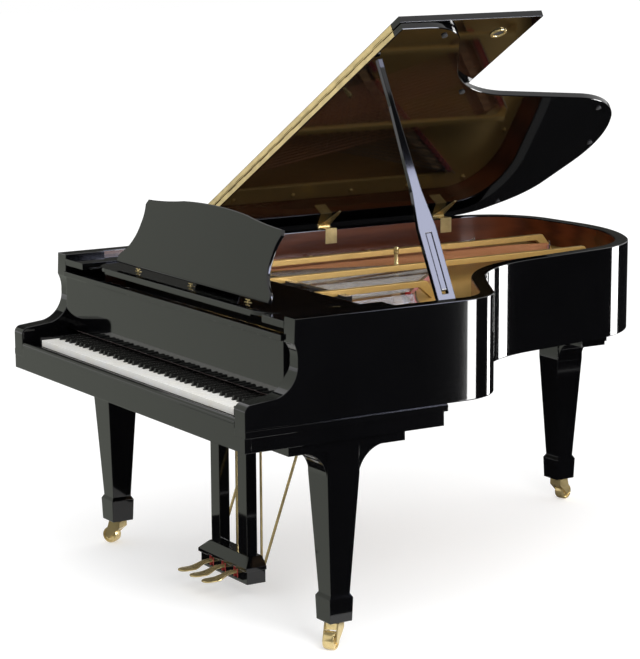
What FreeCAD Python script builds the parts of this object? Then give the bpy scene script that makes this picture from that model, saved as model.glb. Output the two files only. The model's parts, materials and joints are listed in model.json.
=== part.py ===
import FreeCAD, Part
import math
import os

# Grand piano with its lid propped open, in millimetres.
# X runs along the keyboard towards the treble end, Y runs from the key slip towards the tail, Z is up.
# Pieces are drawn from the floor below the middle of the key slip's front face, and then moved
# together so that the origin is on the floor below the middle of the whole piano.

V = FreeCAD.Vector
X_AXIS = V(1, 0, 0)
Y_AXIS = V(0, 1, 0)
Z_AXIS = V(0, 0, 1)

# Clearances shared by the fits
SEAT_GAP = 0.3            # between bodies that move past each other
PIN_GAP = 0.06            # radial clearance of a pin in its bore
GLUE_LINE = 0.3           # between curved pieces glued face to face

# Middle of the whole piano on the floor, where the origin goes
FLOOR_CENTRE = V(-14.83, 992.93, 0)

# Case: the plan is a polygon whose corners are rounded
CASE_WIDTH = 1480.0
SHOULDER_Y = 844.0
SHOULDER_RADIUS = 180.0
WAIST_X = 272.5
WAIST_Y = 1106.0
WAIST_RADIUS = 470.0
TREBLE_TAIL_X = 154.0
TREBLE_TAIL_SETBACK = 170.0   # before the tail
TREBLE_TAIL_RADIUS = 345.0
TAIL_X = -174.0
TAIL_Y = 1993.0
TAIL_RADIUS = 600.0
BASS_TAIL_SETBACK = 59.5
BASS_TAIL_RADIUS = 260.0
RIM_TOP = 980.0
RIM_BOTTOM = 685.0
RIM_THICKNESS = 42.0
ARM_THICKNESS = 60.0
ARM_LENGTH = 300.0

# Arm: front edge, scroll and upright, seen from the side
ARM_NOSE_RISE = 50.0      # straight front above the rim's lower edge
ARM_NOSE_RADIUS = 22.0
ARM_REST_LENGTH = 78.0    # gently rising top behind the nose
ARM_REST_RISE = 8.0
SCROLL_BACK = 170.0       # deepest point of the scroll
SCROLL_BACK_RISE = 93.0   # its height above the end of the rest
SCROLL_LIP = 159.0        # where the scroll meets the upright
SCROLL_LIP_DROP = 68.0    # below the rim's top

# Keybed and its trim
KEYBED_BOTTOM = 621.0
KEYBED_EDGE = 22.0        # height of the flush upper edge
KEYBED_GROOVE = 2.5
KEYBED_INSET = 3.0
KEYBED_REAR = 672.0
KEYBED_STEP = 12.0        # the lower slab ends this far before the edge
SLIP_THICKNESS = 22.0
SLIP_TOP = 711.0
SLIP_LINE = 694.0         # groove across the slip's face
SLIP_LINE_DEPTH = 1.5

# Keys
WHITE_COUNT = 52
KEY_BLOCK_WIDTH = 66.5    # from the last key to the arm
KEY_FRONT = 37.0
KEY_REAR = 430.0
KEY_TOP = 723.5
KEY_HEIGHT = 20.0
KEY_GAP = 1.0
KEY_HEAD = 50.0
BLACK_WIDTH = 10.2
BLACK_RISE = 12.0
BLACK_SLOT = 1.1
BLACK_FRONT_SLOPE = 5.0
BLACK_SIDE_SLOPE = 1.2
KEY_DIP = 10.0            # travel of a white key's front edge
BALANCE_Y = 232.0
BALANCE_GAP = 0.8         # room for a key to rock on the balance rail
RAIL_WIDTH = 24.0
FRAME_BAR = 5.0
FRAME_BAR_COUNT = 5
KEY_SHIFT = 2.5           # travel of the keyboard under the soft pedal
KEY_BLOCK_TOP = 731.0
KEY_BLOCK_REAR = 190.0

# Fallboard, standing open
FALLBOARD_FACE = 160.0
FALLBOARD_THICKNESS = 18.0
FALLBOARD_BOTTOM = 744.0
FALLBOARD_TOP = 927.0
FALLBOARD_LIP = 16.0
FALLBOARD_LIP_OUT = 8.0
FALLBOARD_PIN_RADIUS = 4.0
FALLBOARD_PIN_REACH = 10.0
FALLBOARD_PIN_RISE = 24.0
FALLBOARD_PIN_BACK = 2.0  # hinge line behind the board
FALLBOARD_LUG = 18.0
FALLBOARD_SIDE_GAP = 1.0

# Music tray, desk and stays
TRAY_TOP = 962.0
TRAY_THICKNESS = 12.0
TRAY_RAIL_WIDTH = 120.5   # from the tray to the arm
TRAY_FRONT = 186.0
TRAY_REAR = 500.0
TRAY_CORNER = 100.0
TRAY_APRON = 6.0
TRAY_APRON_INSET = 105.5
TRAY_APRON_DEPTH = 14.0
TRAY_LEDGE = 14.0
TRAY_LEDGE_HEIGHT = 4.0
TRAY_RAIL_FRONT = 161.0
TRAY_RAIL_REAR = 560.0
TRAY_RAIL_RISE = 4.0
DESK_AXIS_Y = 244.0
DESK_AXIS_RISE = 8.0
DESK_LEAN = 23.6
DESK_THICKNESS = 12.0
DESK_FOOT = 4.2           # the desk's lower edge above its hinge line
DESK_INSET = 89.5         # from the tray's side
DESK_FOOT_SWELL = 1.0
DESK_HIP_INSET = 14.0
DESK_HIP_RISE = 40.0
DESK_WAIST_INSET = 67.0
DESK_WAIST_RISE = 140.0
DESK_CORNER_INSET = 54.0
DESK_CORNER_RISE = 203.0
DESK_CORNER_CUT = 9.0
DESK_CORNER_CUT_RISE = 17.0
DESK_SHOULDER_INSET = 276.0
DESK_SHOULDER_RISE = 239.0
DESK_TOP_RISE = 247.0
DESK_FOLD = 66.0          # turn that lays the desk down on the tray
STAY_HINGE_RISE = 118.0   # along the desk, from its hinge line
STAY_LENGTH = 122.0
STAY_WIDTH = 260.0
STAY_THICKNESS = 5.0
STAY_OFFSET = 4.5         # stay's centre behind the desk's back
STAY_PIN_RADIUS = 1.5
STAY_PIN_REACH = 14.0
STAY_LUG = 5.0
DESK_HINGE_SPACING = 340.0
DESK_HINGE_WIDTH = 60.0
DESK_HINGE_LEAF = 1.6
DESK_HINGE_LEAF_LENGTH = 22.0
DESK_HINGE_RADIUS = 3.0
DESK_HINGE_PIN_RADIUS = 1.4

# Lid in two leaves
LID_THICKNESS = 19.0
LID_OVERHANG = 8.0
LID_GAP = 6.0             # between the rim and the closed lid
LID_ANGLE = 30.3
LID_SPLIT_Y = 643.0
FLAP_FRONT = 137.0
FLAP_GAP = 3.0            # between the folded flap and the lid
LID_AXIS_OUT = 4.0        # hinge line outside the case's spine
LID_AXIS_RISE = 3.0
LID_HINGE_PLACES = (690.0, 1178.0, 1655.0)
LID_HINGE_WIDTH = 46.0
LID_HINGE_RADIUS = 3.0
LID_HINGE_PIN_RADIUS = 1.5
LID_HINGE_LEAF = 2.0
LID_HINGE_DROP = 50.0     # rim leaf on the rim's inner face
LID_HINGE_STRAP = 118.0
LID_HINGE_STRAP_TIP = 6.0
LID_HINGE_RELIEF = 0.8
FLAP_LEAF = 1.4
FLAP_LEAF_HEIGHT = 17.0
FLAP_HINGE_RADIUS = 3.0
FLAP_HINGE_PIN_RADIUS = 1.2
FLAP_HINGE_RELIEF = 0.8
FLAP_HINGE_KNUCKLE_COUNT = 24
FLAP_HINGE_INSET = 40.0
BUMPER_RADIUS = 9.0
BUMPER_HEIGHT = 5.0

# Lid prop, its half stick and its bracket
PROP_PIVOT_INSET = 52.0
PROP_PIVOT_Y = 702.0
PROP_PIVOT_DROP = 18.0    # below the rim's top
PROP_TIP_INSET = 168.0    # where its tip meets the lid, measured on the closed lid
PROP_TIP_Y = 661.0
PROP_THICKNESS = 14.0
PROP_FOOT_WIDTH = 60.0
PROP_WIDE_LENGTH = 230.0
PROP_SHOULDER_LENGTH = 110.0   # first, quick part of the taper
PROP_SHOULDER_WIDTH = 33.0
PROP_TAPER_LENGTH = 260.0
PROP_SLIM_WIDTH = 15.0
PROP_TIP_WIDTH = 16.0
PROP_TIP_CLEARANCE = 0.6
PROP_PIN_RADIUS = 4.0
PROP_SLOT_START = 30.0
PROP_SLOT_LENGTH = 185.0
PROP_SLOT_WIDTH = 22.0
HALF_PROP_WIDTH = 18.0
HALF_PROP_THICKNESS = 12.0
HALF_PROP_PIN_RADIUS = 2.5
HALF_PROP_PIN_PLACE = 46.0
BRACKET_EAR = 4.5
BRACKET_GAP = 2.0
BRACKET_HALF_HEIGHT = 14.0
BRACKET_REACH = 10.0     # ears beyond the pin

# Sounding parts
INNER_RIM_THICKNESS = 45.0
BELLY_Y = 645.0
BELLY_THICKNESS = 45.0
SOUNDBOARD_TOP = 850.0
SOUNDBOARD_THICKNESS = 9.0
RIB_COUNT = 9
RIB_WIDTH = 24.0
RIB_HEIGHT = 20.0
RIB_ANGLE = 38.0
RIB_MIDDLE_X = -337.0
RIB_FIRST = 760.0
RIB_SPACING = 150.0
POST_WIDTH = 70.0
POST_HEIGHT = 85.0
POST_RISE = 5.0           # posts stay above the rim's lower edge
POST_FEET = (-420.0, -40.0, 330.0)
POST_HEADS = (-470.0, -230.0, -30.0)
PIN_BLOCK_FRONT = 385.0
PIN_BLOCK_REAR = 540.0
PIN_BLOCK_HEIGHT = 38.0
PLATE_THICKNESS = 12.0
PLATE_RIM_GAP = 3.0
PLATE_LIP = 20.0
PLATE_FRONT_LIP = 12.0
PLATE_TOP = 893.0
STRIKE_REAR = 640.0       # rear edge of the plate's gap for the hammers
WINDOW_FRONT = 648.0
PLATE_SIDE = 60.0         # plate left standing beside the windows
PLATE_HOLE_RADIUS = 26.0
PLATE_HOLES = ((138.0, 800.0), (298.0, 905.0), (548.0, 1250.0), (608.0, 1480.0))   # x from the rim
STRUT_WIDTH = 18.0
STRUT_HEIGHT = 18.0
STRUT_RISE = 37.0         # underside of a strut above the plate
STRUT_FOOT = 25.0
STRUT_RAMP = 45.0         # slope from the bar down to its rear foot
STRUT_OFFSET = 4.0        # from the middle of its gap, clear of the dampers
STRUT_FRONT = 520.0
AGRAFFE_WIDTH = 12.0
PLATE_FRONT_REAR = 564.0  # rear edge of the plate in front of the hammers
HITCH_SHELF = 8.0         # plate under the last of a string
BASS_WINDOW_HALF = 45.0
BASS_WINDOW_END = 40.0
STRUT_REARS = (TAIL_Y - 118.0, TAIL_Y - 168.0, WAIST_Y - 121.0)

# Scale: notes, strings and their pins
NOTE_COUNT = 88
BASS_NOTE_COUNT = 20
SECTION_COUNTS = (20, 22, 23, 23)
SECTION_SHARES = ((-0.8739, -0.5874), (-0.4699, -0.1318), (-0.0688, 0.2980), (0.3610, 0.8567))
STRING_START = 506.0
AGRAFFE_Y = 560.0
STRING_RISE = 15.0        # of the plain strings above the plate
BASS_STRING_LIFT = 12.0
TENOR_END_ROOM = 243.0    # from the end of the longest plain string to the tail's line
TOP_LENGTH = 175.0
LENGTH_POWER = 1.6        # how fast the plain strings shorten
TENOR_TILT = 14.0
TOP_TILT = 2.0
BASS_END_ROOM = 133.0
BASS_SHORTENING = 180.0   # of the shortest wound string
BASS_TILT = 12.0
BASS_END_TILT = 17.0
BASS_STRING_RADIUS = 2.6
TENOR_STRING_RADIUS = 1.1
TOP_STRING_RADIUS = 0.6
BRIDGE_SETBACK = 60.0     # before the string's end
BRIDGE_WIDTH = 26.0
TUNING_PIN_RADIUS = 3.4
TUNING_PIN_DEPTH = 34.0
TUNING_PIN_RISE = 24.0
TUNING_PIN_ROW_COUNT = 3
TUNING_PIN_ROW_STEP = 22.0
HITCH_PIN_RADIUS = 2.5
HITCH_PIN_RISE = 9.0
HITCH_SETBACK = 8.0

# Hammers and dampers
HAMMER_Y = 600.0
HAMMER_DEPTH = 22.0
HAMMER_WIDTH = 9.5
HAMMER_HEIGHT = 52.0
HAMMER_BOTTOM = 812.0
HAMMER_FOOT_INSET = 6.0
HAMMER_TOE = 2.0
HAMMER_WAIST = 26.0       # below the hammer's top
HAMMER_SHOULDER = 14.0
HAMMER_NOSE = 4.0
SHANK_RADIUS = 2.8
SHANK_Z = 822.0
ACTION_RAIL_FRONT = 434.0
ACTION_RAIL_DEPTH = 26.0
ACTION_RAIL_HEIGHT = 22.0
ACTION_BRACKET = 12.0
ACTION_BASE_DEPTH = 40.0
ACTION_BASE_HEIGHT = 14.0
DAMPED_NOTE_COUNT = 68
DAMPER_Y = 626.0
DAMPER_DEPTH = 26.0
DAMPER_WIDTH = 9.0
DAMPER_FELT = 8.0
DAMPER_HEAD = 20.0

# Legs and casters
FRONT_LEG_INSET = 66.0
FRONT_LEG_Y = 325.0
REAR_LEG_X = -348.0
REAR_LEG_SETBACK = 90.0   # before the tail
LEG_BOTTOM = 82.0
LEG_BLOCK_WIDTH = 74.0
LEG_BLOCK_TOP_WIDTH = 79.0
LEG_BLOCK_TOP = 152.0
LEG_NECK_WIDTH = 65.0
LEG_NECK_TOP = 164.0
LEG_TOP_WIDTH = 106.0
LEG_TOP = 517.0
LEG_HEAD_PLATE = 28.0
LEG_HEAD_FRONT = 180.0
LEG_HEAD_REAR = 207.0
CORBEL_FRONT_REACH = 88.0
CORBEL_REAR_REACH = 109.0
CORBEL_SET_IN = 4.0
REAR_HEAD_INSET = 5.0     # head plate inside the case's outline
REAR_HEAD_BASS = 130.0
REAR_HEAD_TREBLE = 185.0
REAR_HEAD_REAR = 60.0
REAR_CORBEL_REACH = 70.0
WHEEL_RADIUS = 27.0
WHEEL_WIDTH = 34.0
WHEEL_AXLE_RADIUS = 4.0
CASTER_TRAIL = 25.0
FORK_CHEEK = 5.0
FORK_BOSS = 11.0          # reach of a cheek round the axle
FORK_FRONT = 22.0         # crown over the wheel, from the stem
FORK_BACK = 20.0
FORK_CROWN = 20.0         # its height
FORK_CAP_GAP = 5.0        # between the crown and the leg
FORK_COLLAR = 4.0
FORK_STEM_RADIUS = 7.0
FORK_STEM_DEPTH = 45.0
CASTER_HEADINGS = {"left": 210.0, "right": 305.0, "rear": 106.0}

# Lyre and pedals
LYRE_COLUMN_X = 84.0
LYRE_COLUMN_WIDTH = 52.0
LYRE_COLUMN_FRONT = 365.0
LYRE_COLUMN_DEPTH = 36.0
BOX_HALF_WIDTH = 150.0
BOX_FRONT = 338.0
BOX_REAR = 410.0
BOX_BOTTOM = 50.0
BOX_TOP = 130.0
BOX_SLOPE = 27.0          # cap's sloping edge at the front and the ends
BOX_CAP_EDGE = 11.0       # upright edge below the slope
BOX_SET_IN = 7.0          # box under its cap
BOX_SLOT_WIDTH = 24.0
BOX_SLOT_BOTTOM = 60.0
BOX_SLOT_TOP = 96.0
PEDAL_SPACING = 75.0
PEDAL_TIP = 226.0
PEDAL_TIP_WIDTH = 44.0
PEDAL_TIP_LENGTH = 52.0
PEDAL_TIP_CORNER = 20.0
PEDAL_FLARE = 14.0        # corner where the paddle narrows to the bar
PEDAL_BEND = 12.0         # in front of the box
PEDAL_TIP_THINNING = 3.0
PEDAL_WIDTH = 18.0
PEDAL_HEIGHT = 12.0
PEDAL_DROP = 16.0         # the tip hangs this far below the box end
PEDAL_REAR = 448.0
PEDAL_PIVOT_Y = 376.0
PEDAL_PIVOT_Z = 78.0
PEDAL_PIN_RADIUS = 3.5
ROD_Y = 437.0
ROD_RADIUS = 4.0
ROD_HOLE_GAP = 1.0
ROD_TOP = 655.0
ROD_HEADROOM = 10.0
BRACE_X = 138.0
BRACE_RADIUS = 4.5
BRACE_FOOT_Z = 104.0
BRACE_HEAD_Y = 595.0

HALF_CASE = CASE_WIDTH / 2
ARM_INSIDE = HALF_CASE - ARM_THICKNESS
RIM_INSIDE = HALF_CASE - RIM_THICKNESS
KEY_SPAN = 2 * (ARM_INSIDE - KEY_BLOCK_WIDTH)
TRAY_HALF_WIDTH = ARM_INSIDE - TRAY_RAIL_WIDTH
TRAY_APRON_HALF_WIDTH = TRAY_HALF_WIDTH - TRAY_APRON_INSET
DESK_HALF_WIDTH = TRAY_HALF_WIDTH - DESK_INSET
STAY_TURN = 2 * DESK_FOLD     # angle from the desk's upward line to the stay
FRONT_LEG_X = HALF_CASE - FRONT_LEG_INSET
REAR_LEG_Y = TAIL_Y - REAR_LEG_SETBACK
FLAP_HINGE_END = HALF_CASE - FLAP_HINGE_INSET
FLAP_HINGE_START = -FLAP_HINGE_END
PROP_PIVOT = V(HALF_CASE - PROP_PIVOT_INSET, PROP_PIVOT_Y, RIM_TOP - PROP_PIVOT_DROP)
PROP_TIP_X = HALF_CASE - PROP_TIP_INSET
SECTIONS = [(count, RIM_INSIDE * a, RIM_INSIDE * b) for count, (a, b) in zip(SECTION_COUNTS, SECTION_SHARES)]
TENOR_LENGTH = TAIL_Y - AGRAFFE_Y - TENOR_END_ROOM
BASS_LENGTH = TAIL_Y - AGRAFFE_Y - BASS_END_ROOM
WHITE_PITCH = KEY_SPAN / WHITE_COUNT
KEY_BOTTOM = KEY_TOP - KEY_HEIGHT
LID_UNDER = RIM_TOP + LID_GAP
LID_TOP = LID_UNDER + LID_THICKNESS
LID_AXIS = V(-HALF_CASE - LID_AXIS_OUT, 0, RIM_TOP + LID_AXIS_RISE)
FLAP_AXIS = V(0, LID_SPLIT_Y, LID_TOP + FLAP_GAP / 2)
STRING_Z = PLATE_TOP + STRING_RISE
DESK_AXIS = V(0, DESK_AXIS_Y, TRAY_TOP + DESK_AXIS_RISE)
FALLBOARD_AXIS = V(0, FALLBOARD_FACE + FALLBOARD_THICKNESS + FALLBOARD_PIN_BACK,
                   FALLBOARD_BOTTOM + FALLBOARD_PIN_RISE)


def block(x0, x1, y0, y1, z0, z1):
    """Rectangular block between two corners."""
    return Part.makeBox(x1 - x0, y1 - y0, z1 - z0, V(x0, y0, z0))


def rod(start, end, radius):
    """Round bar from one point to another."""
    return Part.makeCylinder(radius, (end - start).Length, start, end - start)


def prism(wire, z0, z1):
    """Upright prism on a plan outline drawn at height zero."""
    solid = Part.Face(wire).extrude(Z_AXIS * (z1 - z0))
    solid.translate(Z_AXIS * z0)
    return solid


def side_prism(points, x0, x1):
    """Prism along X on a polygon of (y, z) points."""
    outline = [V(x0, y, z) for y, z in points]
    face = Part.Face(Part.makePolygon(outline + outline[:1]))
    return face.extrude(X_AXIS * (x1 - x0))


def plan_prism(points, z0, z1):
    """Upright prism on a polygon of (x, y) points."""
    outline = [V(x, y, z0) for x, y in points]
    face = Part.Face(Part.makePolygon(outline + outline[:1]))
    return face.extrude(Z_AXIS * (z1 - z0))


def arc(start, middle, end):
    """Arc edge through three points."""
    return Part.Arc(start, middle, end).toShape()


def square_loft(sections, x, y):
    """Tapered square post through (height, width) sections, centred on x and y."""
    wires = []
    for z, width in sections:
        h = width / 2
        ring = [V(x - h, y - h, z), V(x + h, y - h, z), V(x + h, y + h, z), V(x - h, y + h, z)]
        wires.append(Part.makePolygon(ring + ring[:1]))
    return Part.makeLoft(wires, True, True)


def fused(first, *others):
    """One solid from pieces that overlap or share faces."""
    return first.fuse(list(others)).removeSplitter()


def rounded_wire(corners):
    """Closed plan outline through (point, radius) corners, with an arc at each radius."""
    edges = []
    last = None
    first = None
    count = len(corners)
    for i in range(count):
        point, radius = corners[i]
        into = (point - corners[i - 1][0]).normalize()
        out = (corners[(i + 1) % count][0] - point).normalize()
        turn = into.getAngle(out)
        reach = radius * math.tan(turn / 2)
        start = point - into * reach
        end = point + out * reach
        if last is not None:
            edges.append(Part.makeLine(last, start))
        else:
            first = start
        if radius > 0:
            inward = (out - into).normalize()
            middle = point + inward * (radius / math.cos(turn / 2) - radius)
            edges.append(arc(start, middle, end))
        last = end
    edges.append(Part.makeLine(last, first))
    return Part.Wire(edges)


def case_outline(inset, front):
    """Plan of the case, set in from its sides by inset, with a straight front edge at y = front."""
    plan = [
        (V(-HALF_CASE, 0, 0), 0),
        (V(HALF_CASE, 0, 0), 0),
        (V(HALF_CASE, SHOULDER_Y, 0), SHOULDER_RADIUS),
        (V(WAIST_X, WAIST_Y, 0), WAIST_RADIUS),
        (V(TREBLE_TAIL_X, TAIL_Y - TREBLE_TAIL_SETBACK, 0), TREBLE_TAIL_RADIUS),
        (V(TAIL_X, TAIL_Y, 0), TAIL_RADIUS),
        (V(-HALF_CASE, TAIL_Y - BASS_TAIL_SETBACK, 0), BASS_TAIL_RADIUS),
    ]
    count = len(plan)
    corners = []
    for i in range(count):
        point, radius = plan[i]
        into = (point - plan[i - 1][0]).normalize()
        out = (plan[(i + 1) % count][0] - point).normalize()
        bend = into.cross(out).z
        normal_in = Z_AXIS.cross(into)
        normal_out = Z_AXIS.cross(out)
        shift = (normal_in + normal_out) * (inset / (1 + normal_in.dot(normal_out)))
        moved = point + shift
        if radius > 0:
            radius = radius - math.copysign(inset, bend)
        if i < 2:
            moved.y = front
        corners.append((moved, radius))
    return rounded_wire(corners)


def band(inset, width, front, front_width, z0, z1):
    """Closed wall that follows the case inside it."""
    outside = prism(case_outline(inset, front), z0, z1)
    inside = prism(case_outline(inset + width, front + front_width), z0 - 1, z1 + 1)
    return outside.cut(inside)


def mirrored(shape):
    """Copy of a shape on the other side of the piano's middle plane."""
    return shape.mirror(V(0, 0, 0), X_AXIS)


def lid_raised(shape):
    """Turn a shape that is drawn on the closed lid up with the lid."""
    turned = shape.copy()
    turned.rotate(LID_AXIS, -Y_AXIS, LID_ANGLE)
    return turned


def flap_folded(shape):
    """Turn a shape that is drawn on the closed flap over on to the raised lid."""
    turned = shape.copy()
    turned.rotate(FLAP_AXIS, X_AXIS, 180)
    return lid_raised(turned)


def arm_profile_cut():
    """Space in front of and above the arms, as a prism across the whole width."""
    x = -HALF_CASE - 10
    nose = RIM_BOTTOM + ARM_NOSE_RISE
    rest = nose + ARM_NOSE_RADIUS
    bend = ARM_NOSE_RADIUS * (1 - math.sqrt(0.5))
    rest_end = V(x, ARM_NOSE_RADIUS + ARM_REST_LENGTH, rest + ARM_REST_RISE)
    back = V(x, SCROLL_BACK, rest_end.z + SCROLL_BACK_RISE)
    lip = V(x, SCROLL_LIP, RIM_TOP - SCROLL_LIP_DROP)
    low = V(x, rest_end.y + 0.72 * (back.y - rest_end.y), rest_end.z + 0.33 * (back.z - rest_end.z))
    high = V(x, back.y - 1.5, back.z + 0.5 * (lip.z - back.z))
    start = V(x, 0, nose)
    rest_start = V(x, ARM_NOSE_RADIUS, rest)
    top = V(x, SCROLL_LIP + 3, RIM_TOP + 1)
    outside_top = V(x, -10, RIM_TOP + 1)
    outside = V(x, -10, nose)
    edges = [
        arc(start, V(x, bend, rest - bend), rest_start),
        Part.makeLine(rest_start, rest_end),
        arc(rest_end, low, back),
        arc(back, high, lip),
        Part.makeLine(lip, top),
        Part.makeLine(top, outside_top),
        Part.makeLine(outside_top, outside),
        Part.makeLine(outside, start),
    ]
    return Part.Face(Part.Wire(edges)).extrude(X_AXIS * (CASE_WIDTH + 20))


def outer_rim():
    """Bent case wall with its two arms, and the sockets for the fallboard's pins."""
    wall = band(0, RIM_THICKNESS, 0, -RIM_THICKNESS - 20, RIM_BOTTOM, RIM_TOP)
    arm = block(ARM_INSIDE, HALF_CASE - 1, 0, ARM_LENGTH, RIM_BOTTOM, RIM_TOP)
    case = fused(wall, arm, mirrored(arm)).cut(arm_profile_cut())
    reach = ARM_INSIDE + FALLBOARD_PIN_REACH + 1
    socket = rod(FALLBOARD_AXIS - X_AXIS * reach, FALLBOARD_AXIS + X_AXIS * reach,
                 FALLBOARD_PIN_RADIUS + PIN_GAP)
    return case.cut(socket)


def inner_rim():
    """Lower rim and belly rail that carry the soundboard."""
    return band(RIM_THICKNESS + GLUE_LINE, INNER_RIM_THICKNESS, BELLY_Y, BELLY_THICKNESS,
                RIM_BOTTOM, SOUNDBOARD_TOP - SOUNDBOARD_THICKNESS)


def keybed():
    """Bed under the keys: a flush edge, a narrower slab below it, and holes for the pedal rods."""
    edge_bottom = RIM_BOTTOM - KEYBED_EDGE
    groove_x = HALF_CASE - KEYBED_GROOVE
    groove_z = RIM_BOTTOM - KEYBED_GROOVE
    slab_x = HALF_CASE - KEYBED_INSET
    edge = block(-HALF_CASE, HALF_CASE, 0, KEYBED_REAR, edge_bottom, groove_z)
    top = block(-groove_x, groove_x, 0, KEYBED_REAR - KEYBED_GROOVE, groove_z, RIM_BOTTOM)
    slab = block(-slab_x, slab_x, SLIP_THICKNESS, KEYBED_REAR - KEYBED_STEP, KEYBED_BOTTOM, edge_bottom)
    bed = fused(edge, top, slab)
    bed = bed.cut(block(-ARM_INSIDE, ARM_INSIDE, -1, SLIP_THICKNESS, KEYBED_BOTTOM, RIM_BOTTOM + 1))
    for x in (-PEDAL_SPACING, 0, PEDAL_SPACING):
        hole = rod(V(x, ROD_Y, KEYBED_BOTTOM - 1), V(x, ROD_Y, ROD_TOP + ROD_HEADROOM),
                   ROD_RADIUS + ROD_HOLE_GAP)
        bed = bed.cut(hole)
    return bed


def key_slip():
    """Front board: a full-width foot below, and a rail with a rounded top between the arms."""
    foot_x = HALF_CASE - KEYBED_INSET
    foot = block(-foot_x, foot_x, 0, SLIP_THICKNESS, KEYBED_BOTTOM, RIM_BOTTOM - KEYBED_EDGE)
    r = SLIP_THICKNESS / 2
    board = block(-ARM_INSIDE, ARM_INSIDE, 0, SLIP_THICKNESS, RIM_BOTTOM - KEYBED_EDGE, SLIP_TOP - r)
    nose = rod(V(-ARM_INSIDE, r, SLIP_TOP - r), V(ARM_INSIDE, r, SLIP_TOP - r), r)
    line = block(-ARM_INSIDE, ARM_INSIDE, -1, SLIP_LINE_DEPTH, SLIP_LINE, SLIP_LINE + SLIP_LINE_DEPTH)
    return fused(foot, board, nose).cut(line)


def key_blocks():
    """Blocks that close the keyboard at both ends."""
    inside = KEY_SPAN / 2 + KEY_SHIFT + 1.5
    right = block(inside, ARM_INSIDE, KEY_FRONT - 2, KEY_BLOCK_REAR, RIM_BOTTOM, KEY_BLOCK_TOP)
    return Part.makeCompound([mirrored(right), right])


def white_name(index):
    """Letter of a white key, counted from the lowest A."""
    return "ABCDEFG"[index % 7]


BLACK_SHIFT = {"C": -2.5, "D": 2.5, "F": -3.5, "G": 0.0, "A": 3.5}


def black_centre(index):
    """Middle of the black key above white key index, or None where there is none."""
    name = white_name(index)
    if index < 0 or index >= WHITE_COUNT - 1 or name not in BLACK_SHIFT:
        return None
    return -KEY_SPAN / 2 + WHITE_PITCH * (index + 1) + BLACK_SHIFT[name]


def white_key(index):
    """White key with a wide head and a tail that leaves room for its black neighbours."""
    left = -KEY_SPAN / 2 + WHITE_PITCH * index + KEY_GAP / 2
    right = left + WHITE_PITCH - KEY_GAP
    slot = BLACK_WIDTH / 2 + BLACK_SLOT
    before = black_centre(index - 1)
    after = black_centre(index)
    tail_left = left if before is None else max(left, before + slot)
    tail_right = right if after is None else min(right, after - slot)
    head = KEY_FRONT + KEY_HEAD
    outline = [(left, KEY_FRONT), (right, KEY_FRONT)]
    if tail_right < right:
        outline += [(right, head), (tail_right, head)]
    outline += [(tail_right, KEY_REAR), (tail_left, KEY_REAR)]
    if tail_left > left:
        outline += [(tail_left, head), (left, head)]
    return plan_prism(outline, KEY_BOTTOM, KEY_TOP)


def black_key(index):
    """Black key after white key index: a bar with sloping sides and a sloping front."""
    centre = black_centre(index)
    front = KEY_FRONT + KEY_HEAD + BLACK_SLOT
    half = BLACK_WIDTH / 2
    top_half = half - BLACK_SIDE_SLOPE
    base = block(centre - half, centre + half, front, KEY_REAR, KEY_BOTTOM, KEY_TOP)
    lower = [V(centre - half, front, KEY_TOP), V(centre + half, front, KEY_TOP),
             V(centre + half, BALANCE_Y, KEY_TOP), V(centre - half, BALANCE_Y, KEY_TOP)]
    top = KEY_TOP + BLACK_RISE
    slope = front + BLACK_FRONT_SLOPE
    upper = [V(centre - top_half, slope, top), V(centre + top_half, slope, top),
             V(centre + top_half, BALANCE_Y, top), V(centre - top_half, BALANCE_Y, top)]
    cap = Part.makeLoft([Part.makePolygon(lower + lower[:1]), Part.makePolygon(upper + upper[:1])], True, True)
    return fused(base, cap)


MIDDLE_C = WHITE_COUNT // 2 - 3    # white key index of the C in the middle of the keyboard
LOOSE_WHITE = {"key_c": MIDDLE_C, "key_d": MIDDLE_C + 1, "key_e": MIDDLE_C + 2}
LOOSE_BLACK = {"key_c_sharp": MIDDLE_C, "key_d_sharp": MIDDLE_C + 1}


def white_keys():
    """All white keys but the ones that have nodes of their own."""
    loose = LOOSE_WHITE.values()
    return Part.makeCompound([white_key(i) for i in range(WHITE_COUNT) if i not in loose])


def black_keys():
    """All black keys but the ones that have nodes of their own."""
    loose = LOOSE_BLACK.values()
    places = [i for i in range(WHITE_COUNT) if black_centre(i) is not None and i not in loose]
    return Part.makeCompound([black_key(i) for i in places])


def key_frame():
    """Frame under the keys: front, balance and back rails on cross bars, and a base for the action."""
    x = KEY_SPAN / 2
    bottom = RIM_BOTTOM + SEAT_GAP
    rail_top = KEY_BOTTOM - SEAT_GAP
    front_top = KEY_BOTTOM - KEY_DIP - 1
    rear = ACTION_RAIL_FRONT + ACTION_BASE_DEPTH
    front_rail = block(-x, x, KEY_FRONT + 8, KEY_FRONT + 8 + RAIL_WIDTH, bottom, front_top)
    balance_top = KEY_BOTTOM - BALANCE_GAP
    balance = block(-x, x, BALANCE_Y - RAIL_WIDTH / 2, BALANCE_Y + RAIL_WIDTH / 2, bottom, balance_top)
    back = block(-x, x, KEY_REAR - RAIL_WIDTH - 6, KEY_REAR - 6, bottom, rail_top)
    base = block(-x, x, ACTION_RAIL_FRONT, rear, bottom, bottom + ACTION_BASE_HEIGHT)
    bars = []
    for i in range(FRAME_BAR_COUNT):
        centre = -x + RAIL_WIDTH + i * (2 * x - 2 * RAIL_WIDTH) / (FRAME_BAR_COUNT - 1)
        bars.append(block(centre - RAIL_WIDTH / 2, centre + RAIL_WIDTH / 2,
                          KEY_FRONT + 8, rear, bottom, bottom + FRAME_BAR))
    return fused(front_rail, balance, back, base, *bars)


def note_x(note):
    """Place of a note along the scale, section by section."""
    first = 0
    for count, start, end in SECTIONS:
        if note < first + count:
            break
        first += count
    return start + (end - start) * (note - first) / (count - 1)


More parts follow.
